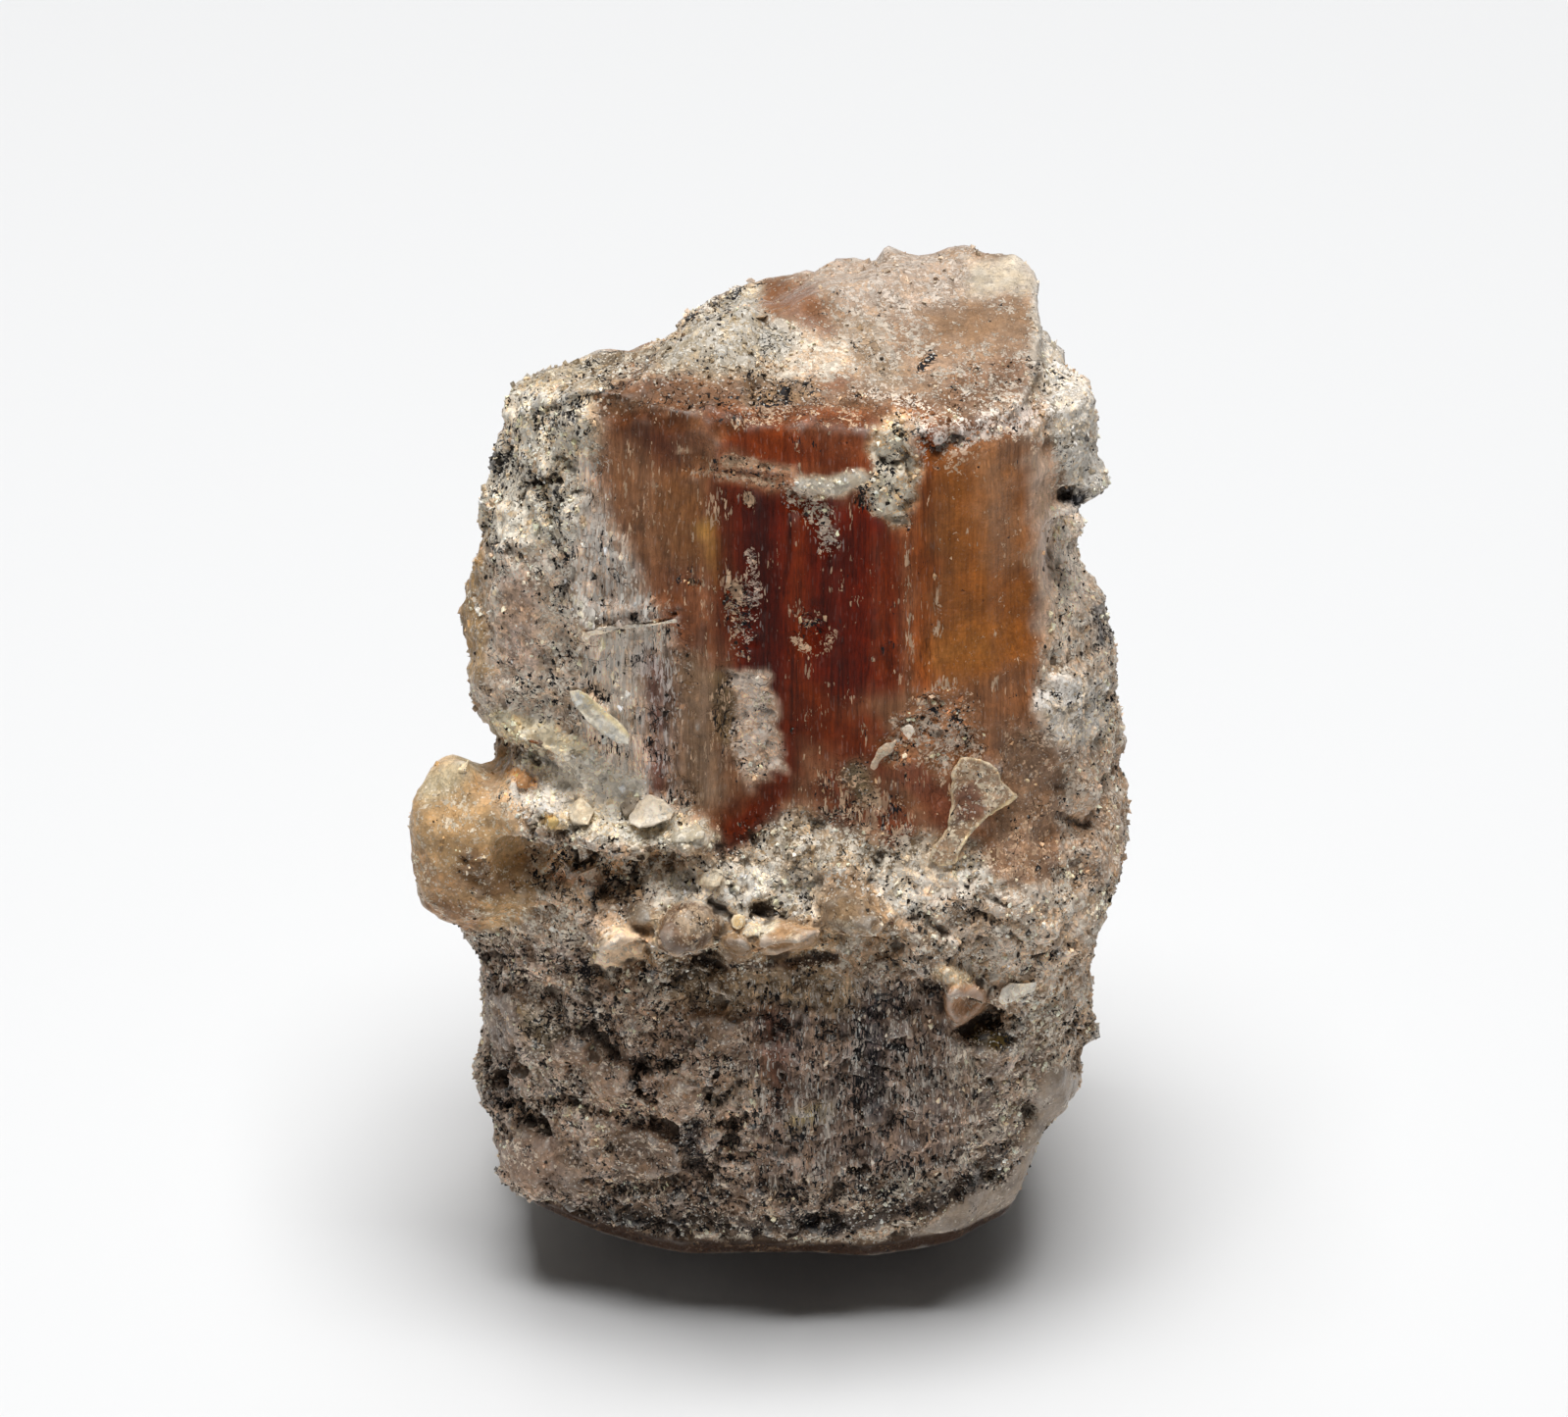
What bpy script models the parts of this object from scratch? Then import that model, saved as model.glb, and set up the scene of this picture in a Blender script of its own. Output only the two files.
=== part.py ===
"""A broken childrenite crystal, standing on its own cleaved base.

The crystal is one stubby upright prism, grown in one piece with its grey granular coat, with a
smaller rounded crystal on its left side, and with flakes of mica. +Z is up along the prism and the
front is towards -Y. The origin lies under the middle of the crystal, on the surface below it.
"""

import math

import bmesh
import bpy
from mathutils import Matrix, Vector, noise
from mathutils.bvhtree import BVHTree

MM = 0.001

# All sizes here are in millimetres. Each station is one level of the prism: its height, its left and
# right reach, and its front and back reach.
STATIONS = (
    (-0.8, -3.9, 5.0, -1.2, 4.6),
    (0.0, -4.4, 5.4, -1.5, 5.0),
    (1.0, -5.6, 6.0, -3.0, 5.6),
    (1.8, -7.2, 6.4, -4.7, 6.0),
    (2.7, -7.6, 6.7, -5.0, 6.1),
    (3.2, -7.9, 6.8, -5.3, 6.2),
    (4.4, -8.0, 7.1, -5.4, 6.4),
    (5.6, -7.8, 7.6, -5.5, 6.5),
    (6.8, -7.8, 7.8, -5.6, 6.6),
    (8.4, -7.9, 8.0, -5.7, 6.7),
    (10.0, -7.8, 8.4, -5.8, 6.8),
    (11.6, -7.5, 8.6, -5.8, 6.8),
    (12.8, -7.4, 8.6, -5.9, 6.8),
    (13.8, -7.4, 8.5, -5.7, 6.8),
    (15.0, -7.5, 8.4, -4.9, 6.8),
    (16.2, -7.8, 8.3, -4.6, 6.7),
    (18.2, -8.1, 8.0, -4.5, 6.6),
    (19.6, -7.9, 7.6, -4.5, 6.4),
    (20.8, -7.7, 7.1, -4.4, 6.2),
    (22.8, -7.2, 6.9, -4.3, 5.8),
    (24.2, -6.7, 6.8, -4.2, 5.4),
    (26.4, -6.1, 6.4, -4.0, 4.8),
    (29.0, -5.6, 6.0, -3.8, 4.2),
)
# Corners of the prism's cross-section, as shares of its reach: across, then front to back.
SECTION = (
    (-0.97, -0.30),
    (-0.90, -0.62),
    (-0.64, -0.83),
    (-0.33, -0.97),
    (0.36, -1.00),
    (0.72, -0.89),
    (0.91, -0.67),
    (0.99, -0.34),
    (1.00, 0.12),
    (0.92, 0.64),
    (0.50, 1.00),
    (-0.46, 1.00),
    (-0.92, 0.52),
    (-1.00, 0.08),
)
# Flat breaks that end the prism: a point on each plane, and the way that it faces.
TOP_BREAKS = (
    ((2.4, -0.7, 27.05), (0.07, -0.12, 1.0)),
    ((-4.3, 1.0, 25.4), (-0.35, 0.5, 1.0)),
    ((2.4, 3.4, 27.35), (0.05, 1.0, 0.8)),
    ((-2.0, 3.6, 25.2), (-0.45, 1.0, 0.7)),
    ((6.2, 1.0, 27.1), (1.0, 0.12, 0.7)),
    ((5.5, -3.9, 26.2), (0.45, -1.0, 0.9)),
    ((-6.3, -0.5, 25.6), (-1.0, -0.2, 0.6)),
)
# The small rounded crystal on the left: centre, half sizes, and turn about the front-to-back axis.
KNOB = ((-7.65, -2.4, 13.4), (1.85, 1.9, 2.35), 6)
# Lumps of the coat and of smaller crystals, with the same values.
LUMPS = (
    ((-6.9, -1.6, 11.2), (1.1, 1.7, 1.6), 20),
    ((-6.9, -2.9, 15.0), (0.9, 1.1, 0.8), -20),
    ((6.6, -0.7, 24.5), (1.1, 1.5, 1.7), 0),
    ((6.8, -1.3, 23.3), (0.9, 1.0, 0.8), 0),
    ((7.35, -0.8, 6.6), (0.8, 1.3, 0.7), 0),
    ((-7.2, -1.2, 4.9), (0.9, 1.6, 1.1), 10),
    ((-7.1, -0.4, 18.4), (0.85, 2.2, 1.6), 0),
    ((-5.9, -3.6, 14.9), (1.25, 1.1, 0.75), -8),
    ((-4.1, -4.3, 14.9), (1.3, 1.0, 0.65), 6),
    ((-2.5, -4.6, 15.1), (0.95, 0.85, 0.5), 0),
    ((-4.4, -5.0, 12.6), (0.75, 1.0, 0.8), 30),
    ((-2.6, -5.3, 13.0), (1.1, 1.15, 0.85), -8),
    ((-0.9, -5.6, 13.0), (0.8, 0.85, 0.5), 5),
    ((0.5, -5.7, 13.2), (1.15, 0.85, 0.48), -16),
    ((2.1, -5.4, 13.4), (1.2, 0.9, 0.6), -5),
    ((3.6, -4.9, 12.7), (0.9, 0.9, 0.8), 25),
    ((4.3, -5.1, 11.1), (0.75, 0.9, 0.95), -15),
    ((5.6, -4.1, 12.2), (0.8, 0.9, 0.7), 10),
    ((6.4, -3.1, 17.6), (1.0, 0.9, 1.5), 0),
    ((7.1, -2.8, 12.6), (0.9, 1.1, 1.4), 0),
    ((5.4, 4.0, 10.0), (2.4, 2.4, 3.4), 10),
    ((-3.8, 4.6, 15.0), (2.6, 1.9, 3.2), -15),
    ((2.2, 5.4, 5.2), (2.6, 1.4, 1.4), 5),
)
# Hollows in the front, and then in the back: place across, height, radius and depth.
FRONT_PITS = (
    (-6.3, 13.8, 0.9, 0.60),
    (-4.4, 13.8, 0.9, 0.60),
    (-2.9, 14.2, 0.8, 0.40),
    (-4.0, 11.7, 0.8, 0.45),
    (-1.8, 11.8, 0.9, 0.50),
    (4.9, 9.8, 0.75, 0.80),
    (7.2, 21.4, 0.9, 0.60),
    (-0.2, 27.0, 0.7, 0.25),
    (-4.1, 26.8, 0.8, 0.25),
    (-5.6, 25.0, 0.9, 0.40),
    (-6.4, 23.2, 0.9, 0.40),
    (-5.6, 20.2, 0.8, 0.35),
    (-7.4, 15.9, 0.7, 0.50),
    (0.6, 21.1, 0.8, 0.18),
    (-4.6, 8.4, 1.0, 0.35),
    (-0.4, 8.6, 0.9, 0.30),
    (-3.8, 5.6, 0.9, 0.35),
    (2.6, 5.0, 0.9, 0.30),
    (-6.2, 9.6, 0.8, 0.35),
    (6.0, 7.4, 0.9, 0.30),
)
BACK_PITS = (
    (1.0, 9.0, 1.8, 0.70),
    (4.0, 18.0, 1.6, 0.60),
    (-5.4, 9.0, 1.5, 0.50),
    (-1.0, 21.5, 1.2, 0.40),
    (6.2, 13.5, 1.2, 0.50),
)
# Where the crystal is bare of its coat: a middle, and how far the patch reaches each way from it.
BARE = (
    ((1.8, -4.6, 20.8), (4.5, 1.6, 6.0)),
    ((-3.4, -4.2, 19.8), (1.5, 1.5, 6.2)),
    ((3.2, -0.6, 27.2), (4.0, 4.6, 1.5)),
    ((4.6, 5.6, 21.0), (2.6, 1.6, 5.0)),
    ((-3.0, 6.4, 22.0), (3.0, 1.6, 3.4)),
    ((0.0, 0.0, 0.4), (9.0, 9.0, 2.5)),
    ((6.4, -2.6, 3.2), (1.6, 2.6, 1.6)),
    ((-8.6, -2.6, 13.2), (2.0, 2.4, 3.0)),
)
# The lower edge of the step across the front, from left to right: place across and height.
LIP = (
    (-8.5, 11.2),
    (-6.0, 11.4),
    (-4.8, 11.7),
    (-3.9, 12.4),
    (-2.4, 12.0),
    (-1.0, 12.3),
    (1.0, 12.9),
    (2.6, 13.0),
    (3.4, 11.6),
    (5.2, 10.2),
    (9.0, 9.8),
)
LIP_DEPTH = 0.55  # how far the front steps back below its lip
LIP_SPAN = (-6.6, -4.0, 3.6, 6.4)  # where the step begins, is full, begins to fade, and ends
LIP_FADE = 4.5  # how far down the step evens out
# A thin raised edge of the coat on the left of the bare face, with a groove along it, and the open
# crack in the right side: the two ends of each, across and up, its half width and its relief.
SEAMS = (
    ((-5.1, 20.2), (-4.8, 20.9), 0.30, 0.20),
    ((-4.8, 20.9), (-2.6, 21.5), 0.30, 0.22),
    ((-7.0, 17.3), (-5.0, 16.8), 0.35, 0.25),
    ((6.7, 14.8), (8.6, 14.2), 0.32, -0.45),
)
# Flakes of mica and chips set in the front: place across, height, half length, half width, half
# thickness, slope along the front, and lean out of it.
FLAKES = (
    (-4.45, 18.50, 0.98, 0.34, 0.13, 42, 34),
    (4.65, 16.20, 1.35, 0.62, 0.15, -60, 74),
    (-3.20, 15.75, 0.52, 0.42, 0.22, 12, 50),
    (-2.20, 15.30, 0.50, 0.38, 0.22, 20, 45),
    (5.80, 10.60, 0.50, 0.28, 0.14, -16, 45),
    (-6.00, 17.10, 0.80, 0.28, 0.16, 16, 35),
)
STRIA_PITCH = 0.95  # between the crystal's upright ridges
STRIA_HEIGHT = 0.055
BARE_DEPTH = 0.16  # of the bare faces, below the coat
LUMP_HEIGHT = 0.34
GRAIN_HEIGHT = 0.17

FINE_VOXEL = 0.20
TRIANGLES = 9300
REDDISH_BROWN = (0.16, 0.055, 0.025, 1.0)


def clear_scene():
    for obj in list(bpy.data.objects):
        bpy.data.objects.remove(obj, do_unlink=True)


def new_object(name, bm):
    mesh = bpy.data.meshes.new(name)
    bm.to_mesh(mesh)
    bm.free()
    obj = bpy.data.objects.new(name, mesh)
    bpy.context.scene.collection.objects.link(obj)
    return obj


def apply_modifiers(obj):
    """Bakes an object's modifiers into its own mesh."""
    graph = bpy.context.evaluated_depsgraph_get()
    mesh = bpy.data.meshes.new_from_object(obj.evaluated_get(graph))
    obj.modifiers.clear()
    obj.data = mesh


def section_ring(bm, station):
    """The ring of corners of one station."""
    height, left, right, front, back = station
    ring = []
    for across, deep in SECTION:
        x = (left + right) / 2 + (right - left) / 2 * across
        y = (front + back) / 2 + (back - front) / 2 * deep
        ring.append(bm.verts.new((x, y, height)))
    return ring


def break_off(bm, point, facing):
    """Takes off what lies past a plane and closes the break flat."""
    parts = bm.verts[:] + bm.edges[:] + bm.faces[:]
    cut = bmesh.ops.bisect_plane(bm, geom=parts, plane_co=point, plane_no=facing, clear_outer=True)
    edges = [e for e in cut["geom_cut"] if isinstance(e, bmesh.types.BMEdge)]
    bmesh.ops.contextual_create(bm, geom=edges)


def prism():
    """The crystal's flat-faced body, from below its base up to its broken top."""
    bm = bmesh.new()
    rings = [section_ring(bm, station) for station in STATIONS]
    corners = len(SECTION)
    for lower, upper in zip(rings, rings[1:]):
        for i in range(corners):
            j = (i + 1) % corners
            bm.faces.new((lower[i], lower[j], upper[j], upper[i]))
    bm.faces.new(list(reversed(rings[0])))
    bm.faces.new(rings[-1])
    for point, facing in TOP_BREAKS:
        break_off(bm, Vector(point), Vector(facing).normalized())
    bmesh.ops.recalc_face_normals(bm, faces=bm.faces)
    return new_object("prism", bm)


def lump(centre, half, turn, rounds=2):
    """An uneven ball, with the more and smaller faces the more rounds it has."""
    bm = bmesh.new()
    bmesh.ops.create_icosphere(bm, subdivisions=rounds, radius=1.0)
    place = Matrix.Translation(centre) @ Matrix.Rotation(math.radians(turn), 4, "Y")
    bm.transform(place @ Matrix.Diagonal((*half, 1.0)))
    for vert in bm.verts:
        out = (vert.co - Vector(centre)).normalized()
        vert.co += out * 0.22 * min(half) * noise.noise(vert.co * 0.9)
    return new_object("lump", bm)


def fused(objects, voxel):
    """One skin round overlapping solids."""
    bm = bmesh.new()
    for obj in objects:
        bm.from_mesh(obj.data)
        bpy.data.objects.remove(obj)
    body = new_object("body", bm)
    remesh = body.modifiers.new("skin", "REMESH")
    remesh.mode = "VOXEL"
    remesh.voxel_size = voxel
    apply_modifiers(body)
    return body


def smooth_step(low, high, value):
    share = min(1.0, max(0.0, (value - low) / (high - low)))
    return share * share * (3.0 - 2.0 * share)


def bareness(place):
    """How bare of coat the surface is, from 0 to 1, with ragged edges to the patches."""
    ragged = 0.25 * noise.noise(place * 0.8)
    bare = 0.0
    for middle, reach in BARE:
        away = max(abs(place[i] - middle[i]) / reach[i] for i in range(3))
        bare = max(bare, 1.0 - smooth_step(0.85, 1.05, away + ragged))
    return bare


def striation(place, normal):
    """Upright ridges of uneven width on the faces that stand up."""
    along = place.x + 0.6 * noise.noise(Vector((place.x * 0.9, place.y * 0.9, place.z * 0.05)))
    ridge = math.sin(along * 2.0 * math.pi / STRIA_PITCH)
    ridge *= 1.0 + 1.4 * noise.noise(Vector((place.x * 0.7, 3.0, place.z * 0.08)))
    upright = smooth_step(0.5, 0.9, 1.0 - abs(normal.z))
    return STRIA_HEIGHT * ridge * upright * abs(normal.y)


def lip_height(across):
    """Height of the front's lower lip at a place across."""
    for (left, low), (right, high) in zip(LIP, LIP[1:]):
        if across <= right:
            share = max(0.0, (across - left) / (right - left))
            return low + (high - low) * share
    return LIP[-1][1]


def step_back(place):
    """The front under the lip is set back, most of all just below it."""
    drop = lip_height(place.x) + 0.25 * noise.noise(place * 1.1) - place.z
    begins, full, fades, ends = LIP_SPAN
    front = smooth_step(1.5, 3.0, -place.y) * smooth_step(begins, full, place.x)
    front *= 1.0 - smooth_step(fades, ends, place.x)
    return -LIP_DEPTH * front * smooth_step(0.0, 0.4, drop) * (1.0 - smooth_step(0.6, LIP_FADE, drop))


def pitted(place):
    """How far the hollows take the surface in."""
    depth = 0.0
    for x, z, radius, deep in FRONT_PITS if place.y < 0.0 else BACK_PITS:
        reach = math.hypot(place.x - x, place.z - z) / radius
        depth -= deep * math.exp(-2.5 * reach * reach)
    return depth * smooth_step(0.3, 1.5, abs(place.y))


def seams(place):
    """The raised edges and the open crack of the front."""
    relief = 0.0
    spot = Vector((place.x, place.z))
    for start, end, half_width, height in SEAMS if place.y < 0.0 else ():
        start, run = Vector(start), Vector(end) - Vector(start)
        share = min(1.0, max(0.0, (spot - start).dot(run) / run.length_squared))
        reach = (spot - start - run * share).length / half_width
        relief += height * math.exp(-reach * reach)
    return relief


def coat(place):
    """The grey granular coat, lumpy and pitted."""
    lumps = LUMP_HEIGHT * noise.fractal(place * 0.45, 1.0, 2.0, 2)
    grains = GRAIN_HEIGHT * noise.noise(place * 1.9)
    chips = -0.6 * GRAIN_HEIGHT * smooth_step(0.1, 0.5, noise.noise(place * 1.2 + Vector((9.0, 2.0, 5.0))))
    return lumps + grains + chips


def bare_face(place):
    """The gently waved surface of the crystal itself."""
    return -BARE_DEPTH + 0.12 * noise.noise(place * 0.4)


def sculpt(body):
    """Moves every point of the skin along its normal by the surface's relief."""
    mesh = body.data
    normals = [vert.normal.copy() for vert in mesh.vertices]
    for vert, normal in zip(mesh.vertices, normals):
        place = vert.co.copy()
        bare = bareness(place)
        relief = bare_face(place) * bare + coat(place) * (1.0 - bare)
        relief += striation(place, normal) * (0.4 + 0.6 * bare)
        vert.co = place + normal * (relief + step_back(place) + pitted(place) + seams(place))


def thinned(body, triangles):
    """Leaves few, large faces on the flats and small ones on the relief."""
    count = sum(len(face.vertices) - 2 for face in body.data.polygons)
    decimate = body.modifiers.new("flats", "DECIMATE")
    decimate.ratio = triangles / count
    apply_modifiers(body)


def flake(tree, across, height, length, width, thickness, slope, lean):
    """A thin six-sided plate, half sunk in the front of the crystal."""
    spot, normal, _, _ = tree.ray_cast(Vector((across, -20.0, height)), Vector((0.0, 1.0, 0.0)))
    bm = bmesh.new()
    bmesh.ops.create_cone(bm, cap_ends=True, segments=6, radius1=1.0, radius2=0.86, depth=2.0)
    lay = Matrix.Translation(spot) @ Matrix.Rotation(math.radians(slope), 4, "Y")
    lay = lay @ Matrix.Rotation(math.radians(lean), 4, "X")
    bm.transform(lay @ Matrix.Diagonal((length, width, thickness, 1.0)))
    bmesh.ops.recalc_face_normals(bm, faces=bm.faces)
    return new_object("flake", bm)


def add_flakes(body):
    bm = bmesh.new()
    bm.from_mesh(body.data)
    tree = BVHTree.FromBMesh(bm)
    bm.free()
    for values in FLAKES:
        plate = flake(tree, *values)
        union = body.modifiers.new("flake", "BOOLEAN")
        union.operation = "UNION"
        union.object = plate
        apply_modifiers(body)
        bpy.data.objects.remove(plate)


def flat_base(body):
    """Cuts the foot off level, so that the crystal stands on a flat face."""
    bm = bmesh.new()
    bm.from_mesh(body.data)
    break_off(bm, Vector((0.0, 0.0, 0.0)), Vector((0.0, 0.0, -1.0)))
    bmesh.ops.triangulate(bm, faces=bm.faces)
    bmesh.ops.recalc_face_normals(bm, faces=bm.faces)
    bm.to_mesh(body.data)
    bm.free()


def centre_over_origin(body):
    """Puts the middle of the crystal's width and depth over the origin, in metres."""
    xs = [vert.co.x for vert in body.data.vertices]
    ys = [vert.co.y for vert in body.data.vertices]
    middle = Vector(((min(xs) + max(xs)) / 2, (min(ys) + max(ys)) / 2, 0.0))
    body.data.transform(Matrix.Scale(MM, 4) @ Matrix.Translation(-middle))


def crystal_material():
    material = bpy.data.materials.new("childrenite")
    material.use_nodes = True
    shader = material.node_tree.nodes["Principled BSDF"]
    shader.inputs["Base Color"].default_value = REDDISH_BROWN
    shader.inputs["Roughness"].default_value = 0.45
    shader.inputs["Metallic"].default_value = 0.0
    return material


def main():
    clear_scene()
    solids = [prism(), lump(*KNOB, rounds=3)] + [lump(*values) for values in LUMPS]
    body = fused(solids, FINE_VOXEL)
    sculpt(body)
    thinned(body, TRIANGLES)
    add_flakes(body)
    flat_base(body)
    centre_over_origin(body)
    body.name = "childrenite_crystal"
    body.data.name = "childrenite_crystal"
    body.data.materials.clear()
    body.data.materials.append(crystal_material())


main()
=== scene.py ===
import math

import bpy
import numpy as np
from mathutils import Matrix, Vector, noise
from mathutils.bvhtree import BVHTree


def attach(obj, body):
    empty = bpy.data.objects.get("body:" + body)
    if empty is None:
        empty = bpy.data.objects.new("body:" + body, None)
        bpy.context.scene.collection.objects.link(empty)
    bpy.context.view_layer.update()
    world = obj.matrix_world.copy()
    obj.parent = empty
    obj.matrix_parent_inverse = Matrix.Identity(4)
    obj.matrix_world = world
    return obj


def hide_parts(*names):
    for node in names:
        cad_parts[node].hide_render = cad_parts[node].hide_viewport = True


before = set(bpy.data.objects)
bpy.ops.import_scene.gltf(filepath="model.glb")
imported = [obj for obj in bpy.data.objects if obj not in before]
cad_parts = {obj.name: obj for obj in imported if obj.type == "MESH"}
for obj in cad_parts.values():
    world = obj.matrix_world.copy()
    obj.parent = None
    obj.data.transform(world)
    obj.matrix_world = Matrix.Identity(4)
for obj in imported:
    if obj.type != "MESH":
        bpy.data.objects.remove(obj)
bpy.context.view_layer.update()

# The crystal is modelled in millimetres and brought down to metres when each piece is settled.
perMetre = 1000.0
crystalNode = "childrenite_crystal"

view = {
    "frame": (1599, 1445),
    "lookAt": (0.32, -0.27, 15.77),
    "away": 200.0,
    "elevation": 35.0,
    "pixel": 0.0245,  # what one pixel of the frame covers at that distance
    "sensor": 36.0,
}

studio = {
    "floorSize": 1.2,
    "floorColor": (0.75, 0.755, 0.76),
    "floorRough": 0.7,
    "floorLevel": 0.2,
    "skyStrength": 0.03,
    "skyColor": (1.0, 1.0, 1.0),
    "aim": (0, 0, 0.012),
    "lamps": {  # width and depth, place, power
        "key": ((0.18, 0.12), (0.0, -0.014, 0.30), 1.08),
        "fill": ((0.3, 0.3), (0.0, 0.25, 0.30), 0.30),
        "front": ((0.24, 0.12), (0.0, -0.30, 0.14), 0.032),
    },
}
dimFront = 1.6  # how much darker the front is lit than a face in full light
palest = 0.88


# Colours are given as they look on the dim front of the crystal, 0 to 255, and turned into the face's own.
def seen(red, green, blue):
    shares = [value / 255 for value in (red, green, blue)]
    shares = [s / 12.92 if s <= 0.04045 else ((s + 0.055) / 1.055) ** 2.4 for s in shares]
    factor = min(dimFront, palest / max(shares))
    return tuple(factor * s for s in shares)


def deselectAll():
    if bpy.context.object and bpy.context.object.mode != "OBJECT":
        bpy.ops.object.mode_set(mode="OBJECT")
    bpy.ops.object.select_all(action="DESELECT")


def takeUp(*pieces):
    deselectAll()
    for piece in pieces:
        piece.select_set(True)
    bpy.context.view_layer.objects.active = pieces[0]


# An operator of edit mode, on the whole mesh.
def editAll(piece, operator, **settings):
    takeUp(piece)
    bpy.ops.object.mode_set(mode="EDIT")
    bpy.ops.mesh.select_all(action="SELECT")
    operator(**settings)
    bpy.ops.object.mode_set(mode="OBJECT")


def applyAll(piece):
    takeUp(piece)
    for modifier in list(piece.modifiers):
        bpy.ops.object.modifier_apply(modifier=modifier.name)


# A new skin of even faces, eased.
def reskin(piece, voxel, easing):
    skin = piece.modifiers.new("skin", "REMESH")
    skin.mode = "VOXEL"
    skin.voxel_size = voxel
    piece.modifiers.new("easing", "SMOOTH").iterations = easing
    applyAll(piece)


def addPiece(name, mesh):
    piece = bpy.data.objects.new(name, mesh)
    bpy.context.scene.collection.objects.link(piece)
    return piece


def addFromData(name, points, faces):
    mesh = bpy.data.meshes.new(name)
    mesh.from_pydata(points.tolist(), [], faces)
    return addPiece(name, mesh)


# Down to metres, with the place in the mesh, riding on the one body.
def settle(piece, material, smooth=True):
    piece.data.transform(Matrix.Scale(1 / perMetre, 4))
    piece.data.materials.clear()
    piece.data.materials.append(material)
    takeUp(piece)
    if smooth:
        bpy.ops.object.shade_smooth()
    else:
        bpy.ops.object.shade_flat()
    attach(piece, "root")
    print(piece.name, "is settled with", sum(len(f.vertices) - 2 for f in piece.data.polygons), "triangles")


def rowsOf(items, key, width, kind):
    flat = np.empty(len(items) * width, kind)
    items.foreach_get(key, flat)
    return flat.reshape(-1, width)


# Where each point is, and which way it faces.
def groundOf(piece):
    return [rowsOf(piece.data.vertices, key, 3, np.float32).astype(float) for key in ("co", "normal")]


def movePoints(piece, points):
    piece.data.vertices.foreach_set("co", points.astype(np.float32).ravel())
    piece.data.update()


# The camera's own axes, which the painting below uses too.
tilt = math.radians(view["elevation"])
forward = np.array((0.0, math.cos(tilt), -math.sin(tilt)))
upward = np.array((0.0, math.sin(tilt), math.cos(tilt)))
eye = np.array(view["lookAt"]) - forward * view["away"]
middleX, middleY = (view["frame"][0] - 1) / 2, (view["frame"][1] - 1) / 2


# Where the camera sees each point, in pixels of the frame. From behind, the crystal is turned round.
def spotsOf(points, behind=False):
    turned = points * np.array((-1, -1, 1)) if behind else points
    away = turned - eye
    depth = away @ forward
    scale = view["away"] / view["pixel"] / depth
    return np.stack((middleX + away[:, 0] * scale, middleY - (away @ upward) * scale), 1)


# Where the camera's ray through a spot of the frame lands on the crystal.
def landOn(skin, x, y):
    across = (x - middleX) * view["pixel"] / view["away"]
    up = (middleY - y) * view["pixel"] / view["away"]
    ray = Vector(forward + np.array((across, 0, 0)) + upward * up).normalized()
    return np.array(skin.ray_cast(Vector(eye), ray)[0])


def ease(low, high, value):
    share = np.clip((value - low) / (high - low), 0, 1)
    return share * share * (3 - 2 * share)


def facingOf(normals, behind=False):
    return ease(0.1, 0.4, normals[:, 1]) if behind else ease(-0.08, 0.18, normals @ -forward)


# Smooth wandering values over space, about -1 to 1, with features of the given size.
def wander(points, size, seed=0.0, squeeze=1.0):
    shift = Vector((seed, seed * 1.7, seed * 0.6))
    scaled = points / size * np.array((1, 1, squeeze))
    return np.array([noise.noise(Vector(p) + shift) for p in scaled.tolist()])


# Layers of it, each with a height, a size and a seed.
def waves(points, *layers):
    return sum(height * wander(points, size, seed) for height, size, seed in layers)


# How far each spot is from a line through some spots.
def awayFrom(spots, path):
    x, y = spots[:, 0], spots[:, 1]
    nearest = np.full(len(spots), 1e9)
    for (x0, y0), (x1, y1) in zip(path, path[1:]):
        run = max((x1 - x0) ** 2 + (y1 - y0) ** 2, 1e-9)
        share = np.clip(((x - x0) * (x1 - x0) + (y - y0) * (y1 - y0)) / run, 0, 1)
        nearest = np.minimum(nearest, np.hypot(x - x0 - share * (x1 - x0), y - y0 - share * (y1 - y0)))
    return nearest


# How many pixels each spot lies inside a closed outline, negative outside it.
def insideOf(spots, outline):
    x, y = spots[:, 0], spots[:, 1]
    inside = np.zeros(len(spots), bool)
    for (x0, y0), (x1, y1) in zip(outline, outline[1:] + outline[:1]):
        if y0 != y1:
            inside ^= ((y0 > y) != (y1 > y)) & (x < (x1 - x0) * (y - y0) / (y1 - y0) + x0)
    nearest = awayFrom(spots, outline + outline[:1])
    return np.where(inside, nearest, -nearest)


# A painting sets some of these values, and leaves those that it isn't given:
#   tint   the tone of the crystal or of the crust under its grains, as it is seen
#   pale   how much of the face the pale grains take, dark the same for black ones
#   grain  the tone of the pale grains, as it is seen
#   streak how far the grains are drawn out upright
#   grit   how rough the face is, 0 for glassy
def look(tint=None, pale=None, dark=None, grain=None, streak=None, grit=None):
    tones = {"tint": tint and seen(*tint), "grain": grain and seen(*grain)}
    values = {**tones, "pale": pale, "dark": dark, "streak": streak, "grit": grit}
    return {key: value for key, value in values.items() if value is not None}


# A zone is painted inside an outline, or along a line of some width, in the frame's pixels. Its rim is soft,
# and it can keep to what lies in front of a depth in millimetres.
def area(outline, soft, *painting, within=None, **more):
    return {"area": outline, "soft": soft, "within": within, "look": look(*painting, **more)}


def line(path, width, soft, *painting, within=None, **more):
    return {"path": path, "width": width, "soft": soft, "within": within, "look": look(*painting, **more)}


# A zone that swells out too. Its rim takes some pixels to round over, and it stands out by some millimetres.
def lump(outline, soft, rounding, rise, *painting, **more):
    return {**area(outline, soft, *painting, **more), "round": rounding, "rise": rise}


crustBase = look((140, 122, 106), 0.50, 0.34, grain=(214, 202, 184), streak=0.15, grit=1.0)

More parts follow.
